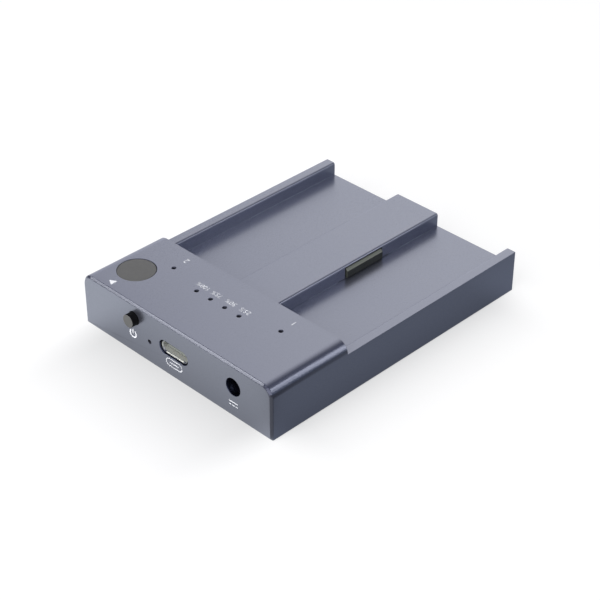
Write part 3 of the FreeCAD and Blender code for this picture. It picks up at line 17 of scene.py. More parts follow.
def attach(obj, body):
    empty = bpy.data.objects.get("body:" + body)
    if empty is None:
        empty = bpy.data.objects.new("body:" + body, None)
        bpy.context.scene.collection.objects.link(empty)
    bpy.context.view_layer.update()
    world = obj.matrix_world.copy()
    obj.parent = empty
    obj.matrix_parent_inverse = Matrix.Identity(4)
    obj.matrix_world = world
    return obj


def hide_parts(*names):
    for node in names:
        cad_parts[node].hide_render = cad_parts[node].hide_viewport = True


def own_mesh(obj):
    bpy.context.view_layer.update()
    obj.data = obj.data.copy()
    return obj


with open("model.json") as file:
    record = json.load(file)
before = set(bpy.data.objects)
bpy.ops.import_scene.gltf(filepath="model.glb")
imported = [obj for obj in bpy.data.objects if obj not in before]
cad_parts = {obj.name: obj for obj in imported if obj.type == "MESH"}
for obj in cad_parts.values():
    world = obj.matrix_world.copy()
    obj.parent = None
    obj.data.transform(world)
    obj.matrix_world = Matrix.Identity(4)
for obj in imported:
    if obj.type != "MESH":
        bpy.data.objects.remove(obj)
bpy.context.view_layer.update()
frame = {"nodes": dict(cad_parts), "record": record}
record = frame["record"]
MM = 0.001

# %% [markdown]
# ## Where things are
#
# The drawing counts from the port face and from the underside of the metal. The frame counts from the
# middle of the footprint and from the table, so a drawn point moves by a fixed step. `place` does that,
# and turns millimetres into metres. All further code can then use the drawing's own numbers, and `drawn`
# brings points of the frame back to them.

# %% From the drawing to the frame
FRONT_Y = -41.3
FEET_H = 0.5
TO_FRAME = np.array([0.0, FRONT_Y, FEET_H])


def place(points):
    """Points of the drawing in mm, as an array (..., 3), become points of the frame in metres."""
    return (np.asarray(points, float) + TO_FRAME) * MM


def drawn(points):
    """The way back: points of the frame in metres become points of the drawing in mm."""
    return points / MM - TO_FRAME


# %% [markdown]
# The driving sizes of the block come next, then the centres of what sits in it. The start button's centre
# is given as x and y on the top. The other four are given as x and z on the port face.

# %% Sizes and centres
HALF_W, BODY_H, BLOCK_D = 32.5, 14.55, 24.3
FLOOR_TOP = 7.72
START = (-24.1, 9.95)
POWER = (-13.8, 10.43)
PINHOLE = (-8.3, 6.75)
DATA_PORT = (0.0, 7.53)
DC = (20.15, 8.55)
print("the block is", 2 * HALF_W, "mm wide and", BODY_H, "mm high, and its bays start at y", BLOCK_D)

# %% [markdown]
# ## The camera first
#
# The photograph looks at the front right corner from above, with a long lens. The camera stands on a
# line that turns by an azimuth and rises by an elevation from a target in the body. Its own axes are
# written as columns of a matrix, so nothing is guessed by eye. The lights later stand in the same way.


# %% Objects and their place
def shown(name, data):
    """A new object with the given data, linked to the scene. It stays at the origin until it is placed."""
    thing = bpy.data.objects.new(name, data)
    bpy.context.scene.collection.objects.link(thing)
    return thing


def standing(axes, origin):
    """A placing matrix, whose columns are three unit vectors (right, up, back) and the place in metres."""
    matrix = np.eye(4)
    matrix[:3, 0], matrix[:3, 1], matrix[:3, 2] = axes
    matrix[:3, 3] = origin
    return Matrix(matrix)


def camera_axes(azimuth, elevation, roll):
    """Right, up and back as unit vectors.

    Back points from the target to the camera: (sin a cos e, -cos a cos e, sin e). Right is level, up is
    back crossed with right, and both then turn by the roll.
    """
    back = np.array([math.sin(azimuth) * math.cos(elevation),
                     -math.cos(azimuth) * math.cos(elevation), math.sin(elevation)])
    right = np.array([math.cos(azimuth), math.sin(azimuth), 0.0])
    up = np.cross(back, right)
    return (math.cos(roll) * right + math.sin(roll) * up,
            math.cos(roll) * up - math.sin(roll) * right, back)


# %% [markdown]
# The angles, the target and the distance come from solving the camera: the straight edges of the block
# have known directions, and only one long lens sees them all at the photograph's angles. A long lens
# stands far off, so lines that are parallel on the box stay nearly parallel in the picture.

# %% Camera
AZIMUTH = math.radians(44.880)
ELEVATION = math.radians(34.807)
ROLL = math.radians(0.082)
TARGET = np.array([4.512, 36.914, 6.5])
DISTANCE = 403.79
LENS, SENSOR = 99.82, 36.0

camera_data = bpy.data.cameras.new("camera")
camera_data.lens = LENS
camera_data.sensor_width = SENSOR
camera_data.clip_start = 0.01
camera = shown("camera", camera_data)
axes = camera_axes(AZIMUTH, ELEVATION, ROLL)
camera.matrix_world = standing(axes, place(TARGET) + axes[2] * DISTANCE * MM)
bpy.context.scene.camera = camera
print("camera at", [round(v, 3) for v in camera.matrix_world.translation])

# %% [markdown]
# ## Meshes from arrays
#
# A shape here is a grid of points worked out at once with numpy. Its rows follow a profile and its
# columns go round it. `skin` only has to number the corners of each four-sided face, which is plain
# arithmetic on the row and column numbers. Ends are closed with one many-sided face each.


# %% Grid to faces
def skin(points, around=True, caps=True):
    """Vertices and faces of a grid of points (rows, columns, 3).

    The face at row i and column j has the corners (i, j), (i, j+1), (i+1, j+1), (i+1, j), where the column
    after the last is the first if the grid goes around. A cap is one face on all points of an end row.
    """
    rows, columns = points.shape[:2]
    i, j = np.meshgrid(np.arange(rows - 1), np.arange(columns if around else columns - 1), indexing="ij")
    k = (j + 1) % columns
    quads = np.stack([i * columns + j, i * columns + k, (i + 1) * columns + k, (i + 1) * columns + j], -1)
    faces = quads.reshape(-1, 4).tolist()
    if caps:
        faces.append(list(range(columns))[::-1])
        faces.append(list(range((rows - 1) * columns, rows * columns)))
    return points.reshape(-1, 3), faces


def together(parts):
    """Several (vertices, faces) pairs as one pair, each part's face numbers moved past those before it."""
    starts = np.cumsum([0] + [len(v) for v, _ in parts])
    faces = [[n + int(s) for n in face] for (_, fs), s in zip(parts, starts) for face in fs]
    return np.concatenate([v for v, _ in parts]), faces


# %% [markdown]
# Points and faces become a piece in a few steps. Points that coincide are merged, so that no seam stays
# open, and then the faces are turned outwards. Shading is smooth, except across edges that turn by more
# than the sharp angle. At the end the piece is told which CAD body it rides on.

# %% Faces to a piece
SHARP = math.radians(38)
SAME_POINT = 1e-7


def build(name, vertices, faces, body, material, smooth=True):
    """A mesh object of drawn points in mm, riding on a CAD body."""
    mesh = bpy.data.meshes.new(name)
    mesh.from_pydata(place(vertices).tolist(), [], faces)
    mesh.update()
    work = bmesh.new()
    work.from_mesh(mesh)
    bmesh.ops.remove_doubles(work, verts=work.verts, dist=SAME_POINT)
    bmesh.ops.recalc_face_normals(work, faces=work.faces)
    work.to_mesh(mesh)
    work.free()
    mesh.polygons.foreach_set("use_smooth", np.full(len(mesh.polygons), smooth))
    if smooth:
        mesh.set_sharp_from_angle(angle=SHARP)
    piece = shown(name, mesh)
    mesh.materials.append(material)
    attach(piece, body)
    print(name + ":", len(mesh.vertices), "vertices,", len(mesh.polygons), "faces on", body)
    return piece


# %% [markdown]
# Some pieces carry two finishes, such as a cap with a darker skirt. Which faces take the second one is
# worked out from where they lie. `read` fetches that for all faces at once, and `paint` sets their slot.


# %% Reading and painting faces
def read(things, measure):
    """One measure of every vertex or face, such as co, center or normal, as an array (n, 3)."""
    values = np.zeros(len(things) * 3)
    things.foreach_get(measure, values)
    return values.reshape(-1, 3)


def paint(piece, material, chosen):
    """The chosen faces of a piece take one more material; chosen is true or false for each face."""
    slots = np.zeros(len(chosen), np.int32)
    piece.data.polygons.foreach_get("material_index", slots)
    slots[chosen] = len(piece.data.materials)
    piece.data.materials.append(material)
    piece.data.polygons.foreach_set("material_index", slots)
    print(piece.name + ":", int(chosen.sum()), "faces take", material.name)


# %% [markdown]
# ## Soft corners
#
# No real corner is sharp. `eased` takes a line of corner points and puts an arc at each, and `turned`
# spins such a line round an axis, as a lathe does.


# %% Profiles
def eased(corners, radii, steps=5):
    """A profile with an arc at each inner corner.

    Each arc starts and ends one radius from the corner and follows the quadratic curve
    (1-t)^2 start + 2 t (1-t) corner + t^2 end, with t in even steps from 0 to 1.
    """
    corners = np.asarray(corners, float)
    t = np.linspace(0, 1, steps)[:, None]
    line = [corners[:1]]
    for before, here, after, radius in zip(corners[:-2], corners[1:-1], corners[2:], radii):
        start = here + (before - here) / np.linalg.norm(before - here) * radius
        end = here + (after - here) / np.linalg.norm(after - here) * radius
        arc = (1 - t) ** 2 * start + 2 * t * (1 - t) * here + t ** 2 * end
        line.append(arc if radius else here[None])
    return np.concatenate(line + [corners[-1:]])


def turned(profile, centre, axis="z", columns=64):
    """A profile of (radius, height) points spun round an axis through the centre.

    The point at angle a is radius * (cos a, sin a) across the axis and height along it. The profile starts
    and ends just off the axis, where a small face at each end closes it.
    """
    a = np.linspace(0, 2 * np.pi, columns, endpoint=False)
    radius, height = np.asarray(profile, float).T
    u = radius[:, None] * np.cos(a)
    v = radius[:, None] * np.sin(a)
    h = np.repeat(height[:, None], columns, 1)
    order = {"z": (u, v, h), "y": (u, h, v), "x": (h, u, v)}[axis]
    return skin(np.stack(order, -1) + np.asarray(centre, float))


# %% [markdown]
# ## Finishes
#
# Every finish is a Principled shader. Its even values sit on the shader's own sockets. Grain and
# unevenness come from noise on Object coordinates, which here are the frame's metres, so a grain of
# 0.1 mm is the same on every piece. An image would blur up close and needs a file; noise does neither.


# %% A shader and its noise
def new_finish(name, colour, metallic=0.0, roughness=0.5, **sockets):
    """A Principled material with its constants on the shader's own sockets."""
    material = bpy.data.materials.new(name)
    material.use_nodes = True
    shader = material.node_tree.nodes["Principled BSDF"]
    shader.inputs["Base Color"].default_value = (*colour, 1.0)
    shader.inputs["Metallic"].default_value = metallic
    shader.inputs["Roughness"].default_value = roughness
    for socket, value in sockets.items():
        shader.inputs[socket.replace("_", " ")].default_value = value
    return material


def noise(material, size_mm, detail=2.0, stretch=(1.0, 1.0, 1.0)):
    """The output of a noise whose lumps measure size_mm, longer along an axis by its stretch."""
    nodes, links = material.node_tree.nodes, material.node_tree.links
    coordinates = nodes.new("ShaderNodeTexCoord")
    mapping = nodes.new("ShaderNodeMapping")
    mapping.inputs["Scale"].default_value = [1.0 / s for s in stretch]
    texture = nodes.new("ShaderNodeTexNoise")
    texture.inputs["Scale"].default_value = 1.0 / (size_mm * MM)
    texture.inputs["Detail"].default_value = detail
    links.new(coordinates.outputs["Object"], mapping.inputs["Vector"])
    links.new(mapping.outputs["Vector"], texture.inputs["Vector"])
    return texture.outputs["Fac"]


def ranged(material, value, low, high, to_low=0.0, to_high=1.0, smooth=False):
    """A value carried from the span low to high onto the span to_low to to_high, and held beyond it."""
    node = material.node_tree.nodes.new("ShaderNodeMapRange")
    node.interpolation_type = "SMOOTHSTEP" if smooth else "LINEAR"
    for socket, number in (("From Min", low), ("From Max", high), ("To Min", to_low), ("To Max", to_high)):
        node.inputs[socket].default_value = number
    material.node_tree.links.new(value, node.inputs["Value"])
    return node.outputs["Result"]


# %% [markdown]
# Three kinds of unevenness cover all the finishes: fine hills in the surface, patches of another colour,
# and places that are rubbed smoother than the rest. Nearly all of a noise lies between 0.3 and 0.7, so
# this stretch of it is carried onto the wanted values.

# %% Grain, patches and rub
NOISE_LOW, NOISE_HIGH = 0.3, 0.7


def add_grain(material, size_mm, depth_mm, detail=2.0, stretch=(1.0, 1.0, 1.0)):
    """Tiny hills of the given size and depth, as a bump on the shader's normal."""
    nodes, links = material.node_tree.nodes, material.node_tree.links
    bump = nodes.new("ShaderNodeBump")
    bump.inputs["Strength"].default_value = 1.0
    bump.inputs["Distance"].default_value = depth_mm * MM
    links.new(noise(material, size_mm, detail, stretch), bump.inputs["Height"])
    links.new(bump.outputs["Normal"], nodes["Principled BSDF"].inputs["Normal"])


def add_patches(material, size_mm, other, share=0.5, detail=3.0, stretch=(1.0, 1.0, 1.0)):
    """The base colour drifts towards another colour in soft patches."""
    nodes, links = material.node_tree.nodes, material.node_tree.links
    shader = nodes["Principled BSDF"]
    mix = nodes.new("ShaderNodeMix")
    mix.data_type = "RGBA"
    mix.inputs["A"].default_value = shader.inputs["Base Color"].default_value
    mix.inputs["B"].default_value = (*other, 1.0)
    patches = noise(material, size_mm, detail, stretch)
    links.new(ranged(material, patches, NOISE_LOW, NOISE_HIGH, 0.0, share), mix.inputs["Factor"])
    links.new(mix.outputs["Result"], shader.inputs["Base Color"])


def add_rub(material, size_mm, low, high, stretch=(1.0, 1.0, 1.0)):
    """The roughness wanders between two values, as where hands and tools have been."""
    shader = material.node_tree.nodes["Principled BSDF"]
    rub = ranged(material, noise(material, size_mm, 4.0, stretch), NOISE_LOW, NOISE_HIGH, low, high)
    material.node_tree.links.new(rub, shader.inputs["Roughness"])


FINISH = {}


def keep(slot, material):
    """Files a finished material under the record's slot name."""
    FINISH[slot] = material
    return material


# %% [markdown]
# ### Anodised aluminium
#
# Anodised metal is blasted with fine beads before it is dyed: it keeps a metal's reflection but spreads
# it, and its grain only shows close up. Its dye is never quite even, so the colour drifts a little over
# a few centimetres. The cover below is rolled sheet, so it is coarser and a shade darker.

# %% Shell and cover
shell = keep("anodised_shell", new_finish("anodised_blue_grey", (0.345, 0.362, 0.445), 0.92, 0.28))
add_patches(shell, 24.0, (0.358, 0.373, 0.452), 0.6)
add_rub(shell, 0.09, 0.26, 0.31)
add_grain(shell, 0.07, 0.0004)

cover = keep("anodised_cover", new_finish("anodised_cover_grey", (0.30, 0.315, 0.395), 0.9, 0.45))
add_patches(cover, 18.0, (0.27, 0.285, 0.36), 0.7)
add_rub(cover, 0.5, 0.4, 0.52)
add_grain(cover, 0.15, 0.002)
print("metal of the box:", ", ".join(FINISH))

# %% [markdown]
# ### What is pressed, stood on and screwed
#
# The feet are dull rubber with a coarse skin. The buttons are moulded with a fine texture that hides finger
# marks. The power button's skirt is a darker plastic, and its near-black is also painted shade for its
# side.
# The clamp pads are moulded too, with grained tops; their faces that don't look up take a darker copy, as
# painted shade.

# %% Rubber, plastic and screws
rubber = keep("foot_rubber", new_finish("foot_rubber", (0.018, 0.018, 0.02), 0.0, 0.72))
add_patches(rubber, 1.6, (0.034, 0.034, 0.036), 0.8)
add_grain(rubber, 0.18, 0.012)

screw = keep("screw_steel", new_finish("nickel_steel", (0.50, 0.49, 0.47), 1.0, 0.28))
add_rub(screw, 0.3, 0.2, 0.4)
add_grain(screw, 0.1, 0.002)

button = keep("button_plastic", new_finish("button_warm_grey", (0.104, 0.104, 0.100), 0.0, 0.5))
add_patches(button, 1.1, (0.119, 0.118, 0.113), 0.7)
add_grain(button, 0.1, 0.004)

# Near-black: the skirt's darker plastic, and painted shade for its side and for the pinhole's wall.
skirt_and_shade = new_finish("skirt_and_painted_shade", (0.005, 0.005, 0.005), 0.0, 0.45, Specular_IOR_Level=0.2)
add_rub(skirt_and_shade, 0.5, 0.4, 0.5)
add_grain(skirt_and_shade, 0.12, 0.004)

charcoal = keep("clamp_plastic", new_finish("clamp_charcoal", (0.150, 0.160, 0.135), 0.0, 0.42))
add_patches(charcoal, 0.8, (0.170, 0.180, 0.152), 0.7)
add_grain(charcoal, 0.14, 0.005)

# Painted shade: a darker copy of the clamp plastic for the pad faces that don't look up.
charcoal_shaded = new_finish("clamp_charcoal_painted_shade", (0.042, 0.045, 0.038), 0.0, 0.4)
add_patches(charcoal_shaded, 0.8, (0.052, 0.056, 0.048), 0.7)
add_grain(charcoal_shaded, 0.14, 0.003)
print("with rubber, screws and plastic:", len(FINISH), "slots")

# %% [markdown]
# ### The boards
#
# A board's lacquer runs over its glass weave, which stretches the patches along one direction. The film
# that keeps the board from the floor of the bays waves a little. Mouldings such as connectors are matt.

# %% Laminate, film and mouldings
laminate = keep("board_laminate", new_finish("green_solder_mask", (0.012, 0.085, 0.040), 0.0, 0.32))
add_patches(laminate, 0.9, (0.020, 0.125, 0.060), 0.9, stretch=(1.0, 5.0, 1.0))
add_grain(laminate, 0.5, 0.01, stretch=(1.0, 5.0, 1.0))

film = keep("black_film", new_finish("black_film", (0.016, 0.016, 0.018), 0.0, 0.22))
add_rub(film, 2.0, 0.16, 0.34)
add_grain(film, 3.0, 0.02)

moulding = keep("black_moulding", new_finish("black_moulding", (0.020, 0.020, 0.022), 0.0, 0.42))
add_rub(moulding, 0.6, 0.36, 0.52)
add_grain(moulding, 0.12, 0.004)
print("with the boards:", len(FINISH), "slots")

# %% [markdown]
# ### Drawn and plated metal
#
# Strip and sheet carry fine lines along the way they were drawn, so their noise is stretched that way:
# along the contacts, along the springs, and up the sides of a capacitor's can.

# %% Contacts, sheet, springs and cans
gold = keep("gold_contact", new_finish("gold_contact", (0.83, 0.60, 0.25), 1.0, 0.24))
add_rub(gold, 0.2, 0.18, 0.34, stretch=(1.0, 6.0, 1.0))

tinned = keep("tinned_steel", new_finish("tinned_sheet", (0.66, 0.66, 0.63), 1.0, 0.34))
add_rub(tinned, 0.4, 0.28, 0.42, stretch=(1.0, 4.0, 1.0))
add_grain(tinned, 0.15, 0.0015, stretch=(1.0, 5.0, 1.0))

strip = keep("spring_steel", new_finish("spring_strip", (0.56, 0.55, 0.53), 1.0, 0.22))
add_rub(strip, 0.2, 0.15, 0.35, stretch=(1.0, 8.0, 1.0))

can = keep("can_aluminium", new_finish("drawn_can", (0.70, 0.70, 0.71), 1.0, 0.3))
add_rub(can, 0.3, 0.22, 0.42, stretch=(1.0, 1.0, 9.0))
print("with drawn metal:", len(FINISH), "slots")

# %% [markdown]
# ### Lights and chips
#
# A light pipe that is off looks like a black dot, because the smoked plastic lets little light back out.
# The chips' casings are moulded and matt, ferrite is pressed powder with a coarse skin, and ceramic is
# fired, which leaves it fine and even.

# %% Light pipes, lamps, chips and passive parts
pipe = keep("clear_pipe", new_finish("smoked_pipe", (0.006, 0.006, 0.009), 0.0, 0.3,
                                      Specular_IOR_Level=0.15, IOR=1.45))
add_rub(pipe, 0.2, 0.14, 0.3)

lamp = keep("led_body", new_finish("led_moulding", (0.62, 0.60, 0.46), 0.0, 0.3))
add_patches(lamp, 0.3, (0.72, 0.66, 0.30), 0.8)

package = keep("chip_black", new_finish("chip_moulding", (0.022, 0.022, 0.023), 0.0, 0.55))
add_patches(package, 0.2, (0.040, 0.040, 0.040), 0.8)
add_grain(package, 0.08, 0.006)

silicone = keep("thermal_grey", new_finish("thermal_silicone", (0.22, 0.29, 0.36), 0.0, 0.68))
add_patches(silicone, 0.5, (0.28, 0.35, 0.42), 0.8)
add_grain(silicone, 0.3, 0.02)

ferrite = keep("ferrite_grey", new_finish("pressed_ferrite", (0.045, 0.045, 0.048), 0.1, 0.6))
add_patches(ferrite, 0.25, (0.085, 0.085, 0.09), 0.9)
add_grain(ferrite, 0.2, 0.015)

ceramic = keep("ceramic_tan", new_finish("sintered_ceramic", (0.27, 0.165, 0.085), 0.0, 0.45))
add_patches(ceramic, 0.3, (0.34, 0.22, 0.12), 0.8)
add_grain(ceramic, 0.1, 0.004)
print("with lights and chips:", len(FINISH), "slots")

# %% [markdown]
# ## Every CAD node gets its finish
#
# The record says which slot each node takes. The nodes keep their meshes. Only the material changes, so
# the pieces inside the box look right as soon as the cover comes off.

# %% Finish on each node
SLOT_OF = {part["node"]: part["material_slot"] for part in record["subparts"]}
for node_name, slot in SLOT_OF.items():
    node = frame["nodes"][node_name]
    node.data.materials.clear()
    node.data.materials.append(FINISH[slot])
print("finished", len(SLOT_OF), "nodes")

# %% [markdown]
# ## Milled edges
#
# On the real box a cutter leaves a hairline on each edge, and that hairline catches the light. The CAD
# mesh is loose triangles, so a copy is merged, its flat areas are joined, and a Bevel modifier rounds
# each edge that turns by more than 30 degrees. Weighted normals keep the big faces flat.

# %% A merged copy with fine edges
EDGE_TURN = math.radians(30)
FLAT_TURN = math.radians(0.5)
LOOSE_POINT = 1e-6


def cut_off(work, point, normal):
    """Takes off what lies outside a plane, given by a drawn point and its outward normal, and closes it."""
    everything = work.verts[:] + work.edges[:] + work.faces[:]
    cut = bmesh.ops.bisect_plane(work, geom=everything, dist=SAME_POINT, plane_co=place(point),
                                 plane_no=normal, clear_outer=True)
    rim = [e for e in cut["geom_cut"] if isinstance(e, bmesh.types.BMEdge)]
    bmesh.ops.edgeloop_fill(work, edges=rim)


def softened(node_name, piece_name, body, width_mm, cuts=()):
    """A copy of a CAD node with joined triangles and slightly rounded edges, which stands for the node.

    Each cut is a plane, as a point and an outward normal. A bevel of width_mm then rounds the edges.
    """
    node = frame["nodes"][node_name]
    work = bmesh.new()
    work.from_mesh(node.data)
    bmesh.ops.remove_doubles(work, verts=work.verts, dist=LOOSE_POINT)
    bmesh.ops.dissolve_limit(work, angle_limit=FLAT_TURN, verts=work.verts, edges=work.edges)
    for point, normal in cuts:
        cut_off(work, point, normal)
    bmesh.ops.recalc_face_normals(work, faces=work.faces)
    mesh = bpy.data.meshes.new(piece_name)
    work.to_mesh(mesh)
    work.free()
    mesh.materials.clear()
    mesh.materials.append(node.data.materials[0])
    mesh.polygons.foreach_set("use_smooth", np.full(len(mesh.polygons), True))
    mesh.set_sharp_from_angle(angle=EDGE_TURN)
    piece = shown(piece_name, mesh)
    edge = piece.modifiers.new("fine edges", "BEVEL")
    edge.width = width_mm * MM
    edge.segments = 2
    edge.limit_method = "ANGLE"
    edge.angle_limit = EDGE_TURN
    edge.use_clamp_overlap = False
    edge.harden_normals = False
    flat = piece.modifiers.new("flat faces stay flat", "WEIGHTED_NORMAL")
    flat.keep_sharp = False
    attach(piece, body)
    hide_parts(node_name)
    print(piece_name + ":", len(mesh.polygons), "faces before the bevel")
    return piece


# %% [markdown]
# ### The bright chamfer round the port face
#
# The port face ends in a chamfer of 45 degrees that runs up one side, over the top and down the other.
# It is the brightest line of the whole box. Saw cuts make it: a few planes for each rounded corner, each
# a little further round, as a file would go.

# %% Chamfer planes and the milled shell
FRONT_CUT = 0.56
LONG_EDGE_R = 3.15
STEP_OF_TURN = 10
SHELL_EDGE = 0.09


def front_planes():
    """Planes at 45 degrees to the port face that follow its outline, one for each step of turn.

    At the turn t from straight up, the outline's outward direction is (sin t, cos t) in x and z, and the
    plane holds the point of the port face that lies FRONT_CUT inside the outline there. Both sides start
    at the top, so the first side's plane for t = 0 is left out.
    """
    reach = LONG_EDGE_R - FRONT_CUT
    planes = []
    for side in (-1, 1):
        for t in np.radians(np.arange(0, 91, STEP_OF_TURN)):
            x = side * (HALF_W - LONG_EDGE_R + reach * math.sin(t))
            z = BODY_H - LONG_EDGE_R + reach * math.cos(t)
            normal = np.array([side * math.sin(t), -1.0, math.cos(t)]) / math.sqrt(2)
            planes.append(((x, 0.0, z), normal))
    return planes[1:]


milled = softened("top_shell", "milled_shell", "housing", SHELL_EDGE, cuts=front_planes())

# %% [markdown]
# ### The foot of the bay walls
#
# The cutter that clears a bay has small rounded corners, which leave a narrow round at the foot of each
# wall. The CAD model draws this round larger than it looks, so its points move to a third of their
# distance from the wall and from the floor. The slot under a clamp keeps its own height.

# %% Smaller rounds
ROOT_R = 0.3
ROOT_SHARE = 3
TOUCH = 1e-3
CLAMP_Y, SLOT_HALF_L, SLOT_H, SLOT_TOUCH = 56.7, 13.0, 0.25, 0.02
BAY_WALLS = ((-29.65, 1), (-7.1, -1), (7.1, 1), (29.65, -1))


def within_root(distance):
    """True where a distance from a wall or a floor lies between 0 and the root's radius."""
    return abs(distance - ROOT_R / 2) <= ROOT_R / 2 + TOUCH


points = drawn(read(milled.data.vertices, "co"))
above = points[:, 2] - FLOOR_TOP
beside_clamp = (abs(points[:, 1] - CLAMP_Y) < SLOT_HALF_L) & (abs(above - SLOT_H) < SLOT_TOUCH)
for wall, inward in BAY_WALLS:
    off = (points[:, 0] - wall) * inward
    root = within_root(off) & within_root(above) & (points[:, 1] > BLOCK_D - TOUCH)
    points[root, 0] = wall + off[root] / ROOT_SHARE * inward
    root &= ~beside_clamp
    points[root, 2] = FLOOR_TOP + above[root] / ROOT_SHARE
    print("foot of the wall at x", wall, "moves", int(root.sum()), "points")
milled.data.vertices.foreach_set("co", place(points).ravel())
milled.data.update()

# %% [markdown]
# ### Inside the bores
#
# The holes in the port face are drilled after blasting, so their walls are a little shinier. The walls of
# the larger holes take a bluer copy of the anodised finish, as painted shade for the deep blue in them.
# The pinhole's wall is painted nearly black, as painted shade, since hardly any light comes back out of
# it. A face belongs to a bore if it lies inside the hole's window, no deeper than the bore, and doesn't
# face forward or back.

# %% Bores of the port face
BORES = ((DC, 2.4, 2.4), (POWER, 1.9, 1.9), (DATA_PORT, 5.1, 2.0), (PINHOLE, 0.75, 0.75))
BORE_DEPTH = 3.0
SIDEWAYS = 0.5

# Painted shade: a bluer copy of the anodised finish for the walls of the larger holes.
bore = new_finish("anodised_bore_painted_shade", (0.30, 0.33, 0.48), 1.0, 0.35)
add_rub(bore, 0.2, 0.26, 0.36)
centres = drawn(read(milled.data.polygons, "center"))
normals = read(milled.data.polygons, "normal")
in_window = [(abs(centres[:, 0] - x) < half_x) & (abs(centres[:, 2] - z) < half_z)
             for (x, z), half_x, half_z in BORES]
in_depth = (centres[:, 1] > 0.0) & (centres[:, 1] < BORE_DEPTH) & (abs(normals[:, 1]) < SIDEWAYS)
paint(milled, bore, in_depth & np.any(in_window[:-1], axis=0))
# The pinhole's wall takes the skirt's near-black: painted shade.
paint(milled, skirt_and_shade, in_depth & in_window[-1])

# %% [markdown]
# ### The cover and the clamp pads
#
# A pad is a small sprung block that looks out of a window in the rib and holds the drive by its edge. It
# stands a little taller in its window than the CAD model draws it, and its lower edge leaves a little
# more room above the slot at its foot, so those points are lifted. Faces that don't look up take a darker
# copy of the plastic, which is painted shade.

# %% Cover and pads
COVER_EDGE, PAD_EDGE = 0.1, 0.03
PAD_TOP_FROM, PAD_TALLER = 9.3, 0.42
PAD_LOW, PAD_LOW_LIFT = 7.85, 0.14
LOOKS_UP = 0.3

softened("bottom_cover", "cover_plate", "housing", COVER_EDGE)
for word in ("left", "right"):
    pad = softened("clamp_" + word, "clamp_pad_" + word, word + "_clamp", PAD_EDGE)
    points = drawn(read(pad.data.vertices, "co"))
    height = points[:, 2].copy()
    on_low_edge = abs(height - PAD_LOW) < SLOT_TOUCH
    points[:, 2] += PAD_TALLER * (height > PAD_TOP_FROM) + PAD_LOW_LIFT * on_low_edge
    pad.data.vertices.foreach_set("co", place(points).ravel())
    pad.data.update()
    # The faces that don't look up take the darker copy: painted shade.
    paint(pad, charcoal_shaded, read(pad.data.polygons, "normal")[:, 2] < LOOKS_UP)

# %% [markdown]
# ### Sockets, inlet and screws
#
# Mouldings and screws have finer edges than the milled shell, so their bevels are narrower. The inlet is
# a deep socket in the dark. Its moulding is black plastic, made a deeper black than the other mouldings as
# painted shade, which keeps it dark.

# %% Sockets, inlet and screws
FINE_EDGE, INLET_EDGE = 0.04, 0.05

for word in ("left", "right"):
    softened("m2_connector_" + word, "drive_socket_" + word, "housing", FINE_EDGE)
inlet = softened("dc_inlet_body", "inlet_moulding", "housing", INLET_EDGE)
# Painted shade: the inlet's moulding is made blacker than the other black mouldings.
inlet_painted_shade_black = new_finish("inlet_painted_shade_black", (0.002, 0.002, 0.004), 0.0, 0.4, Specular_IOR_Level=0.15)
add_rub(inlet_painted_shade_black, 0.5, 0.3, 0.45)
add_grain(inlet_painted_shade_black, 0.12, 0.003)
inlet.data.materials[0] = inlet_painted_shade_black
softened("cover_screws", "cover_screw_set", "housing", FINE_EDGE)

# %% [markdown]
# ## Copies of the domes and springs
#
# A switch's snap dome and a clamp's leaf spring each get a copy of their CAD node, which rides on the
# housing in the node's place. The copy keeps the node's shape, whatever the joint does.


def giving(node_name, piece_name, axis):
    """A copy of a CAD node that stands for it and rides on the housing.

    It keeps the node's shape; the axis is read, but nothing comes of it.
    """
    node = frame["nodes"][node_name]
    mesh = node.data.copy()
    mesh.name = piece_name
    piece = shown(piece_name, mesh)
    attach(piece, "housing")
    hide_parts(node_name)
    points = read(mesh.vertices, "co")
    along = points @ np.array(axis, float)
    tuple(map(float, points[along.argmax()]))
    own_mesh(piece)


giving("start_switch_dome", "start_dome", (0, 0, -1))
giving("power_switch_dome", "power_dome", (0, 1, 0))
giving("clamp_spring_left", "leaf_spring_left", (1, 0, 0))
giving("clamp_spring_right", "leaf_spring_right", (-1, 0, 0))

# %% [markdown]
# ## The start button
#
# A flush round cap of warm grey plastic in a hole that is 0.1 mm wider all round. It is turned from a
# profile: a top that falls by 0.03 mm to the rim, a small rounded rim, the side, and the flange below
# the wall that keeps the cap in.

# %% Start cap
START_R = 4.8
FLANGE_R, FLANGE_TOP, FLANGE_LOW = 5.2, 13.0, 12.4
CROWN_R, CROWN_FALL, RIM_FALL = 3.2, 0.004, 0.03
AXIS_HOLE = 0.02

start_profile = eased(
    [(AXIS_HOLE, BODY_H), (CROWN_R, BODY_H - CROWN_FALL), (START_R, BODY_H - RIM_FALL),
     (START_R, FLANGE_TOP), (FLANGE_R, FLANGE_TOP), (FLANGE_R, FLANGE_LOW), (AXIS_HOLE, FLANGE_LOW)],
    [0.4, 0.16, 0.05, 0.08, 0.08])
start_cap = build("start_cap", *turned(start_profile, (*START, 0.0), columns=96), "start_key", button)
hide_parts("start_button")

# %% [markdown]
# ## The power button
#
# It stands 1.9 mm out of the port face. Its end is the same warm grey, and its side is a near-black skirt,
# a darker plastic whose near-black is also painted shade. So the one turned shape gets two materials, and
# each face takes the one of its depth.

# %% Power cap
POWER_R, POWER_OUT = 1.715, 1.9
COLLAR_R, COLLAR_FRONT, COLLAR_BACK = 2.41, 1.85, 2.45
SKIRT_FROM = -1.78

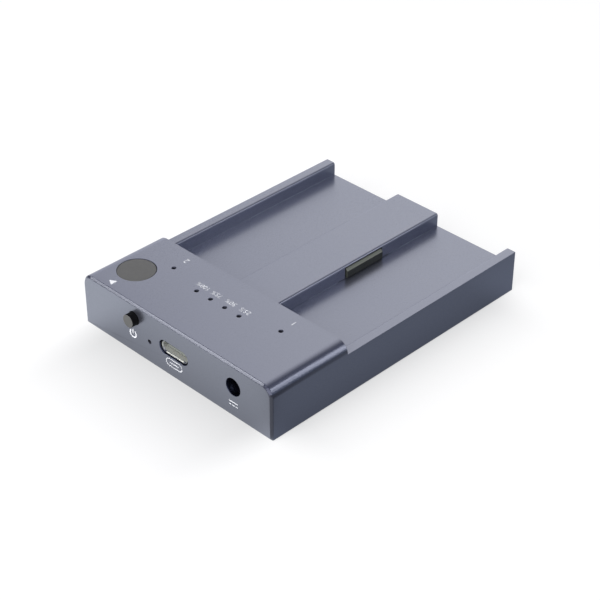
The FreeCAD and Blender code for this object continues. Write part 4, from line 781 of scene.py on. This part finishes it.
power_profile = eased(
    [(AXIS_HOLE, -POWER_OUT), (POWER_R, -POWER_OUT), (POWER_R, COLLAR_FRONT), (COLLAR_R, COLLAR_FRONT),
     (COLLAR_R, COLLAR_BACK), (AXIS_HOLE, COLLAR_BACK)],
    [0.2, 0.05, 0.08, 0.08])
power_cap = build("power_cap", *turned(power_profile, (POWER[0], 0.0, POWER[1]), "y"), "power_key", button)
# The skirt's near-black is partly painted shade.
paint(power_cap, skirt_and_shade, drawn(read(power_cap.data.polygons, "center"))[:, 1] > SKIRT_FROM)
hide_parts("power_button")

# %% [markdown]
# ## The data port
#
# The receptacle is a drawn steel shell with round ends. Its outline is a stadium: two half circles
# joined by straight lines. Moving a stadium's points along their outward directions gives the next
# stadium, so one profile of (offset, depth) makes the outer wall, the flared mouth and the inner wall.


# %% Stadium and sleeve
def stadium(width, height, columns=72):
    """Points and outward directions of a stadium in the plane.

    The angle a runs round once. The direction is (cos a, sin a), and the point is the centre of the end
    that the direction faces, plus half the height along the direction.
    """
    a = (np.arange(columns) + 0.5) * 2 * np.pi / columns
    direction = np.stack([np.cos(a), np.sin(a)], -1)
    end_centre = np.stack([np.sign(np.cos(a)) * (width - height) / 2, 0 * a], -1)
    return end_centre + direction * height / 2, direction


def sleeve(width, height, profile, centre, hollow=False, columns=72):
    """A stadium carried along a profile of (outward offset, y) points.

    A hollow sleeve's profile runs back to its first point, so outer and inner wall join; any other
    sleeve is closed by a face at each end.
    """
    points, direction = stadium(width, height, columns)
    if hollow:
        profile = list(profile) + [profile[0]]
    offset, y = np.asarray(profile, float).T
    ring = points[None] + offset[:, None, None] * direction[None]
    depth = np.repeat(y[:, None], columns, 1)
    grid = np.stack([ring[..., 0] + centre[0], depth, ring[..., 1] + centre[1]], -1)
    return skin(grid, caps=not hollow)


# %% [markdown]
# The shell stands on four legs that go down into the board. Its mouth slopes inwards so that a plug finds
# its way, and plugs rub it bright: faces near the front take a polished finish, which shows as a thin
# light line.

# %% Receptacle shell
SHELL_W, SHELL_H, SHELL_T = 8.94, 3.26, 0.3
SHELL_FRONT, LIP_T, FLARE_END, SHELL_BACK = 0.42, 0.06, 0.66, 8.1
POLISHED_TO = 0.7
LEG_X, LEG_YS, LEG_HALF_T, LEG_HALF_D, LEG_FOOT = 4.32, (3.4, 6.9), 0.15, 0.45, 3.7


def block(x0, x1, y0, y1, z0, z1):
    """A plain block with its long edges along z, as a grid of two rows of four corners."""
    ring = np.array([(x0, y0), (x1, y0), (x1, y1), (x0, y1)], float)
    return skin(np.stack([np.c_[ring, np.full(4, z)] for z in (z0, z1)]))


def leg(x, y):
    """One leg of the shell: a small block round x and y, from under the board to the shell's middle."""
    return block(x - LEG_HALF_T, x + LEG_HALF_T, y - LEG_HALF_D, y + LEG_HALF_D, LEG_FOOT, DATA_PORT[1])


shell_profile = eased([(0.0, SHELL_BACK), (0.0, SHELL_FRONT), (-LIP_T, SHELL_FRONT), (-SHELL_T, FLARE_END),
                       (-SHELL_T, SHELL_BACK)], [0.06, 0.025, 0.08])
tube = sleeve(SHELL_W, SHELL_H, shell_profile, DATA_PORT, hollow=True)
legs = [leg(s * LEG_X, y) for s in (-1, 1) for y in LEG_YS]
drawn_steel = new_finish("satin_receptacle", (0.46, 0.475, 0.44), 0.45, 0.38)
add_rub(drawn_steel, 0.3, 0.32, 0.44, stretch=(1.0, 4.0, 1.0))
add_grain(drawn_steel, 0.12, 0.001)
usb_shell = build("usb_shell", *together([tube] + legs), "housing", drawn_steel)
polished = new_finish("rolled_lip", (0.85, 0.86, 0.83), 1.0, 0.3)
add_rub(polished, 0.2, 0.25, 0.35)
paint(usb_shell, polished, drawn(read(usb_shell.data.polygons, "center"))[:, 1] < POLISHED_TO)
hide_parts("usb_c_shell")

# %% [markdown]
# A near-black ring fills the gap between the shell and the hole in the port wall, a little way in. It is
# painted shade: it makes the gap read as a black line.

# %% Ring of painted shade in the gap
gap_shade_black = new_finish("gap_shade_ring", (0.007, 0.007, 0.009), 0.0, 0.6)
add_patches(gap_shade_black, 0.4, (0.011, 0.011, 0.013), 0.7)
ring_profile = [(0.02, 0.62), (0.1, 0.55), (0.22, 0.55), (0.3, 0.62), (0.3, 1.7), (0.02, 1.7)]
ring = sleeve(SHELL_W, SHELL_H, ring_profile, DATA_PORT, hollow=True)
build("gap_shade_ring", *ring, "housing", gap_shade_black)

# %% [markdown]
# The tongue in the receptacle is a thin plastic blade with the contacts on both faces. Its nose is
# rounded, so a plug slides over it. The same sleeve makes it, with a profile that closes in front. A
# thicker base at the back fills the shell, just inside its walls.

# %% Tongue
BLADE_W, BLADE_H = 6.69, 0.7
BASE_W, BASE_H = SHELL_W - 2 * SHELL_T, SHELL_H - 2 * SHELL_T

tongue_grey = new_finish("tongue_moulding", (0.17, 0.18, 0.165), 0.0, 0.45)
add_patches(tongue_grey, 0.5, (0.20, 0.21, 0.19), 0.6)
add_grain(tongue_grey, 0.1, 0.003)
blade_profile = [(-0.3, 1.15), (-0.2, 1.16), (-0.08, 1.22), (0.0, 1.36), (0.0, 5.8), (-0.3, 5.8)]
base_profile = [(-1.0, 5.7), (-0.1, 5.7), (0.0, 5.8), (0.0, 8.0), (-0.1, 8.1), (-1.0, 8.1)]
blade = sleeve(BLADE_W, BLADE_H, blade_profile, DATA_PORT)
base = sleeve(BASE_W, BASE_H, base_profile, DATA_PORT)
tongue = build("usb_tongue", *together([blade, base]), "housing", tongue_grey)
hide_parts("usb_c_tongue")

# %% [markdown]
# ## The power inlet's pin
#
# A coaxial plug slides over this pin, so its tip is round. It is turned like the caps.

# %% Pin
PIN_R, PIN_TIP, PIN_END = 0.825, 2.8, 11.3

pin_profile = eased([(0.01, PIN_TIP), (PIN_R, PIN_TIP), (PIN_R, PIN_END), (0.01, PIN_END)], [0.45, 0.1], 8)
pin = build("inlet_pin", *turned(pin_profile, (DC[0], 0.0, DC[1]), "y", 48), "housing", tinned)
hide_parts("dc_inlet_pin")

# %% [markdown]
# ## Rubber feet
#
# Four discs with a rounded rim and a shallow dish, so that the rim grips the table.

# %% Feet
FOOT_R, RIM_R, DISH_R, DISH_H = 4.5, 3.9, 3.5, 0.42
FOOT_X, FOOT_YS = 22.5, (12.0, 72.0)

foot_profile = eased([(0.05, 0.0), (FOOT_R, 0.0), (FOOT_R, -FEET_H), (RIM_R, -FEET_H), (DISH_R, -DISH_H),
                      (0.05, -DISH_H)], [0.02, 0.16, 0.1, 0.1])
feet = [turned(foot_profile, (x, y, 0.0)) for x in (-FOOT_X, FOOT_X) for y in FOOT_YS]
foot_set = build("foot_set", *together(feet), "housing", rubber)
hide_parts("rubber_feet")

# %% [markdown]
# ## Printed marks
#
# The marks are a thin film of white ink. A picture of them would need an image file and would blur up
# close, so each is a flat mesh. The film stands 0.012 mm proud, which the eye can't see, but it keeps the
# ink clear of the metal.

# %% Ink on a face
INK_T = 0.012

ink = new_finish("white_ink", (0.90, 0.91, 0.92), 0.0, 0.6)
add_patches(ink, 0.4, (0.84, 0.85, 0.87), 0.6)


def lay(flat, centre, face):
    """Flat mark points (n, 2) onto a face of the box.

    On the top the mark reads from the bays, so both axes are turned round: (x, y) becomes (-x, -y). On
    the port face x stays and y becomes z.
    """
    if face == "top":
        return np.stack([centre[0] - flat[:, 0], centre[1] - flat[:, 1], np.full(len(flat), BODY_H)], -1)
    return np.stack([centre[0] + flat[:, 0], np.full(len(flat), 0.0), centre[1] + flat[:, 1]], -1)


def film_of(name, flat, faces, centre, face):
    """A flat mark in ink, held one ink thickness clear of the face."""
    out = np.array([0.0, 0.0, INK_T] if face == "top" else [0.0, -INK_T, 0.0])
    return build(name, lay(flat, centre, face) + out, faces, "housing", ink, smooth=False)


# %% [markdown]
# Numbers come from Blender's own font. The text is made a mesh at once and scaled by its own height, and
# the text object goes away again. A slight negative offset thins the strokes, as on fine screen print.

# %% Numbers
THINNER = -0.010
PROGRESS = (("100%", -7.65), ("75%", -2.75), ("50%", 2.1), ("25%", 6.95))
PROGRESS_Y, PROGRESS_H = 16.45, 1.35
BAY_NUMBERS, BAY_NUMBER_H = (("2", (-18.4, 20.9)), ("1", (18.4, 21.0))), 1.7


def printed(name, words, height, centre, face):
    """Words as ink: the font's outline as a flat mesh, scaled so that it is height tall."""
    curve = bpy.data.curves.new(name, "FONT")
    curve.body = words
    curve.resolution_u = 6
    curve.offset = THINNER
    writing = shown(name + "_curve", curve)
    flat_mesh = bpy.data.meshes.new_from_object(writing)
    points = read(flat_mesh.vertices, "co")[:, :2]
    faces = [list(p.vertices) for p in flat_mesh.polygons]
    bpy.data.objects.remove(writing)
    bpy.data.curves.remove(curve)
    bpy.data.meshes.remove(flat_mesh)
    low, high = points.min(0), points.max(0)
    points = (points - (low + high) / 2) * height / (high[1] - low[1])
    return film_of(name, points, faces, centre, face)


for percent, x in PROGRESS:
    printed("progress_" + percent[:-1], percent, PROGRESS_H, (x, PROGRESS_Y), "top")
for number, centre in BAY_NUMBERS:
    printed("bay_number_" + number, number, BAY_NUMBER_H, centre, "top")

# %% [markdown]
# Symbols are strokes: a flat band carried along a path. An arc with a bar stands for power, a triangle
# for start, a rounded slot for the data port, and a line over three dashes for direct current.


# %% Strokes and arcs
def stroke(path, width, closed=False):
    """A flat band along a path (n, 2): each point moves half the width along the path's left and right.

    The direction at a point is that from the point before it to the one after it.
    """
    path = np.asarray(path, float)
    if closed:
        along = np.roll(path, -1, 0) - np.roll(path, 1, 0)
    else:
        along = np.gradient(path, axis=0)
    along /= np.linalg.norm(along, axis=1)[:, None]
    side = np.stack([-along[:, 1], along[:, 0]], -1) * width / 2
    points = np.concatenate([path + side, path - side])
    n = len(path)
    i = np.arange(n if closed else n - 1)
    k = (i + 1) % n
    faces = np.stack([i, i + n, k + n, k], -1).tolist()
    return points, faces


def arc_of(radius, start, end, count):
    """Points on an arc of a circle between two angles in degrees: radius * (cos a, sin a)."""
    a = np.radians(np.linspace(start, end, count))
    return np.stack([radius * np.cos(a), radius * np.sin(a)], -1)


# %% [markdown]
# Each symbol is a few strokes put together, and one film of ink. The ring of the power symbol is open at
# the top, where the bar stands.

# %% Symbols
RING_R, RING_START, RING_END = 1.05, 125, 415
BAR_LOW, BAR_TOP, BOLD = 0.1, 1.25, 0.36
power_mark = together([stroke(arc_of(RING_R, RING_START, RING_END, 40), BOLD),
                       stroke([(0, BAR_LOW), (0, BAR_TOP)], BOLD)])
film_of("power_mark", *power_mark, (-14.4, 5.75), "port")

triangle = (np.array([(-0.85, 1.0), (-0.85, -1.0), (1.0, 0.0)]), [[0, 1, 2]])
film_of("start_mark", *triangle, (-24.4, 2.5), "top")

SLOT_MARK_W, SLOT_MARK_H, TONGUE_HALF = 5.4, 2.0, 1.5
outline, _ = stadium(SLOT_MARK_W, SLOT_MARK_H, 48)
port_mark = together([stroke(outline, 0.2, closed=True),
                      stroke([(-TONGUE_HALF, 0), (TONGUE_HALF, 0)], 0.22)])
film_of("port_mark", *port_mark, (0.1, 4.1), "port")

LINE_HALF, LINE_OFF, LINE_T = 1.4, 0.45, 0.24
DASH, DASH_STARTS = 0.72, (-1.4, -0.36, 0.68)
line = stroke([(-LINE_HALF, LINE_OFF), (LINE_HALF, LINE_OFF)], LINE_T)
dashes = [stroke([(start, -LINE_OFF), (start + DASH, -LINE_OFF)], LINE_T) for start in DASH_STARTS]
film_of("inlet_mark", *together([line] + dashes), (DC[0], 3.8), "port")

# %% [markdown]
# ## Floor and backdrop
#
# The floor is pale, and it darkens softly along the front and the right side, where the box keeps the
# light away. A real shadow would need the studio's own lamps. Here the shade is worked out from the place
# alone: along each of the two sides it falls as a power of the distance from the side, and it fades out
# where that side ends.


# %% Arithmetic on the floor's places
def combined(material, operation, first, second):
    """Two values through one operation of arithmetic; either may be a plain number."""
    node = material.node_tree.nodes.new("ShaderNodeMath")
    node.operation = operation
    for socket, value in zip(node.inputs, (first, second)):
        if isinstance(value, float):
            socket.default_value = value
        else:
            material.node_tree.links.new(value, socket)
    return node.outputs["Value"]


def floor_places(material):
    """The x and y of the frame at each point of the floor, in metres."""
    nodes, links = material.node_tree.nodes, material.node_tree.links
    coordinates = nodes.new("ShaderNodeTexCoord")
    split = nodes.new("ShaderNodeSeparateXYZ")
    links.new(coordinates.outputs["Object"], split.inputs["Vector"])
    return split.outputs["X"], split.outputs["Y"]


# %% [markdown]
# The shade starts at the edge of the box and is deepest there. Its power says how quickly it gives way: a
# larger one keeps it closer to the box. Under the box it fades out again, so that the mirrored table,
# which uses the same rule, has no hard line there.

# %% How much light the box keeps away
FRONT_REACH, FRONT_POWER, FRONT_HALF_L, FRONT_MIDDLE = -38.0, 1.7, 29.5, 0.0
SIDE_REACH, SIDE_POWER, SIDE_HALF_L, SIDE_MIDDLE = 29.0, 2.2, 39.0, 1.0
SIDE_STRENGTH = 0.8
END_FADE = 7.0


def shade_strip(material, across, edge, reach, power, along, middle, half):
    """The shade beside one side of the box: (1 - distance / reach) to a power.

    It fades out under the box, and over END_FADE before and after the ends of the side, which lie half
    its length from its middle. A negative reach counts the other way.
    """
    depth = ranged(material, across, edge * MM, (edge + reach) * MM, 1.0, 0.0)
    depth = combined(material, "POWER", depth, power)
    below = ranged(material, across, edge * MM, (edge - 0.5 * reach) * MM, 1.0, 0.0, smooth=True)
    depth = combined(material, "MULTIPLY", depth, below)
    offset = combined(material, "ABSOLUTE", combined(material, "SUBTRACT", along, middle * MM), 0.0)
    fade = ranged(material, offset, (half - END_FADE) * MM, (half + END_FADE) * MM, 1.0, 0.0, smooth=True)
    return combined(material, "MULTIPLY", depth, fade)


def hidden_share(material, x, y):
    """How much light the box keeps from a point of the table: the larger of the two sides' shades."""
    front = shade_strip(material, y, FRONT_Y, FRONT_REACH, FRONT_POWER, x, FRONT_MIDDLE, FRONT_HALF_L)
    side = shade_strip(material, x, HALF_W, SIDE_REACH, SIDE_POWER, y, SIDE_MIDDLE, SIDE_HALF_L)
    return combined(material, "MAXIMUM", front, combined(material, "MULTIPLY", side, SIDE_STRENGTH))


# %% [markdown]
# The paper glows by itself, as an even white that no lamp has to reach, and the shade is taken off its
# glow. The camera alone sees it, so it can't tint the metal.

# %% Floor
FLOOR_SIZE = 12.0
PAPER_GLOW = 0.845
PAPER_SHADE = 0.28


def stage_plate(name, size, z, material):
    """A square plate at height z that only the camera sees: no light comes from it, and no shadow."""
    corner = np.array([(-1, -1), (1, -1), (1, 1), (-1, 1)], float) * size / 2
    mesh = bpy.data.meshes.new(name)
    mesh.from_pydata(np.c_[corner, np.full(4, z)].tolist(), [], [[0, 1, 2, 3]])
    mesh.materials.append(material)
    plate = shown(name, mesh)
    plate.visible_diffuse = plate.visible_glossy = plate.visible_transmission = plate.visible_shadow = False
    print(name, "is", size, "m wide")
    return plate


paper = new_finish("floor_paper", (0.18, 0.18, 0.18), 0.0, 0.9, Emission_Color=(1.0, 1.0, 1.0, 1.0))
shade = combined(paper, "MULTIPLY", hidden_share(paper, *floor_places(paper)), PAPER_SHADE)
glow = combined(paper, "SUBTRACT", PAPER_GLOW, shade)
paper.node_tree.links.new(glow, paper.node_tree.nodes["Principled BSDF"].inputs["Emission Strength"])
stage_plate("floor", FLOOR_SIZE, 0.0, paper)

# %% [markdown]
# ## The mirrored table
#
# The port face and the right side mirror the table. A second plate lies there for mirror images only. It
# is bright in front of the port face and dim beside the right side, as the photograph's two faces show,
# and turns from one to the other across a slanting line through the front right corner. Near the box it
# darkens by the same rule. It is dimmer far out to the right, and dimmest diagonally off the corner,
# which is what the corner's upright edge mirrors.

# %% Mirrored table
CARD_SIZE, CARD_Z = 0.5, -0.0002
FRONT_GLOW = (0.778, 0.798, 0.782)
SIDE_GLOW = (0.243, 0.267, 0.310)
TURN_HALF = 3.0
FAR_FROM, FAR_TO, FAR_SHARE = 13.0, 21.0, 0.35
CORNER_FROM, CORNER_TO, CORNER_SHARE = 0.5, 2.5, 0.2
CARD_SHADE = 0.52

card = new_finish("mirrored_table", (0.0, 0.0, 0.0), 0.0, 1.0)
x, y = floor_places(card)
beyond_side = combined(card, "SUBTRACT", x, HALF_W * MM)
behind_front = combined(card, "ADD", y, -FRONT_Y * MM)
turn_share = ranged(card, combined(card, "ADD", beyond_side, behind_front), -TURN_HALF * MM, TURN_HALF * MM,
                    smooth=True)
tint = card.node_tree.nodes.new("ShaderNodeMix")
tint.data_type = "RGBA"
tint.inputs["A"].default_value = (*FRONT_GLOW, 1.0)
tint.inputs["B"].default_value = (*SIDE_GLOW, 1.0)
far = ranged(card, x, (HALF_W + FAR_FROM) * MM, (HALF_W + FAR_TO) * MM, 1.0, FAR_SHARE, smooth=True)
past_corner = combined(card, "SUBTRACT", beyond_side, behind_front)
corner = ranged(card, past_corner, CORNER_FROM * MM, CORNER_TO * MM, 1.0, CORNER_SHARE, smooth=True)
shade = combined(card, "MULTIPLY", hidden_share(card, x, y), CARD_SHADE)
open_share = combined(card, "SUBTRACT", 1.0, shade)
glow = combined(card, "MULTIPLY", combined(card, "MULTIPLY", far, corner), open_share)
card_links, card_shader = card.node_tree.links, card.node_tree.nodes["Principled BSDF"]
card_links.new(turn_share, tint.inputs["Factor"])
card_links.new(tint.outputs["Result"], card_shader.inputs["Emission Color"])
card_links.new(glow, card_shader.inputs["Emission Strength"])
card_plate = stage_plate("mirrored_floor", CARD_SIZE, CARD_Z, card)
card_plate.visible_camera = False
card_plate.visible_glossy = True

# %% [markdown]
# ## Light
#
# Blasted metal is drawn by what it reflects. The top mirrors the back left of the room, the chamfer of
# the port face the upper front left, and the long rounded edge the back right. So soft boxes and bright
# patches of the room stand where the photograph shows light, and the rest stays dim. Ink and plastic
# take their light from a big soft box in front, which the metal doesn't mirror.


# %% Soft boxes
def softbox(name, direction, distance, width, height, radiance, mirrored=True, bounces=1024,
            colour=(1.0, 1.0, 1.0)):
    """An area light that faces the box; its power is radiance times pi times its area.

    With bounces of 0 it lights only what the camera sees straight, and nothing seen in other faces.
    """
    direction = np.array(direction, float) / np.linalg.norm(direction)
    light = bpy.data.lights.new(name, "AREA")
    light.shape = "RECTANGLE"
    light.size = width
    light.size_y = height
    light.energy = radiance * math.pi * width * height
    light.cycles.max_bounces = bounces
    light.color = colour
    soft = shown(name, light)
    soft.visible_glossy = mirrored
    side = np.cross([0.0, 0.0, 1.0], direction)
    side /= np.linalg.norm(side)
    soft.matrix_world = standing((side, np.cross(direction, side), direction), direction * distance)
    print(name, "at", [round(v, 2) for v in soft.matrix_world.translation], "radiance", radiance)


LIGHT_DISTANCE = 1.2
softbox("bevel_front_left", (-0.58, -0.57, 0.58), LIGHT_DISTANCE, 0.30, 0.30, 2.5,
        colour=(1.0, 0.985, 0.90))
softbox("edge_back_right", (0.695, 0.585, 0.418), LIGHT_DISTANCE, 0.20, 0.66, 1.85, bounces=0)
softbox("fill_front", (0.10, -0.85, 0.60), LIGHT_DISTANCE, 1.0, 1.0, 7.4, mirrored=False)

# %% [markdown]
# ## The room
#
# The world's colour is the room: a dim blue everywhere, plus soft patches that only depend on the
# direction. Each patch is a row of the table below: where it is, the dot product with that direction
# where it starts and where it is full, and its colour. A picture of a real room would do the same, but a
# few patches can be placed one by one.

# %% Room
ROOM_BASE = (0.022, 0.028, 0.075)
ROOM = [
    # back left: an even light on the whole top
    ((-0.70, 0.60, 0.35), 0.70, 0.95, (0.125, 0.123, 0.138)),
    # back: the shine of the top, stronger towards the open end
    ((-0.35, 0.85, 0.40), 0.75, 0.97, (0.842, 0.836, 0.752)),
    # back right: the lower half of the long rounded edge
    ((0.66, 0.70, 0.25), 0.80, 0.97, (0.060, 0.080, 0.090)),
    # front right: what the top mirrors to someone who stands behind the box
    ((0.64, -0.64, 0.42), 0.72, 0.93, (0.40, 0.40, 0.43)),
    # overhead: what the top mirrors to someone who looks down on it
    ((-0.28, 0.28, 0.92), 0.88, 0.99, (0.13, 0.13, 0.15)),
    # left, just above the horizon: the rim along the rib and the walls
    ((-0.84, 0.53, 0.08), 0.90, 0.99, (0.47, 0.47, 0.49)),
]
world = bpy.data.worlds.new("room")
world.use_nodes = True
bpy.context.scene.world = world
nodes, links = world.node_tree.nodes, world.node_tree.links
where = nodes.new("ShaderNodeTexCoord")


def room_patch(direction, start, end, colour):
    """A soft patch of light: it rises from 0 to colour as the dot product goes from start to end."""
    dot = nodes.new("ShaderNodeVectorMath")
    dot.operation = "DOT_PRODUCT"
    dot.inputs[1].default_value = np.array(direction) / np.linalg.norm(direction)
    links.new(where.outputs["Generated"], dot.inputs[0])
    rise = nodes.new("ShaderNodeMapRange")
    rise.interpolation_type = "SMOOTHSTEP"
    rise.inputs["From Min"].default_value = start
    rise.inputs["From Max"].default_value = end
    links.new(dot.outputs["Value"], rise.inputs["Value"])
    scaled = nodes.new("ShaderNodeVectorMath")
    scaled.operation = "SCALE"
    scaled.inputs[0].default_value = colour
    links.new(rise.outputs["Result"], scaled.inputs["Scale"])
    return scaled.outputs["Vector"]


def added(first, second):
    """The sum of two colours; the first may be three plain numbers."""
    node = nodes.new("ShaderNodeVectorMath")
    if isinstance(first, tuple):
        node.inputs[0].default_value = first
    else:
        links.new(first, node.inputs[0])
    links.new(second, node.inputs[1])
    return node.outputs["Vector"]


room_light = ROOM_BASE
for patch in ROOM:
    room_light = added(room_light, room_patch(*patch))
links.new(room_light, nodes["Background"].inputs["Color"])
print("room of", len(ROOM), "patches")

# %% [markdown]
# The Standard view shows colours as they are. A filmic view would bend them, and the pale floor would turn
# grey.

# %% View
view = bpy.context.scene.view_settings
view.view_transform = "Standard"
view.look = "None"
print("view:", view.view_transform)
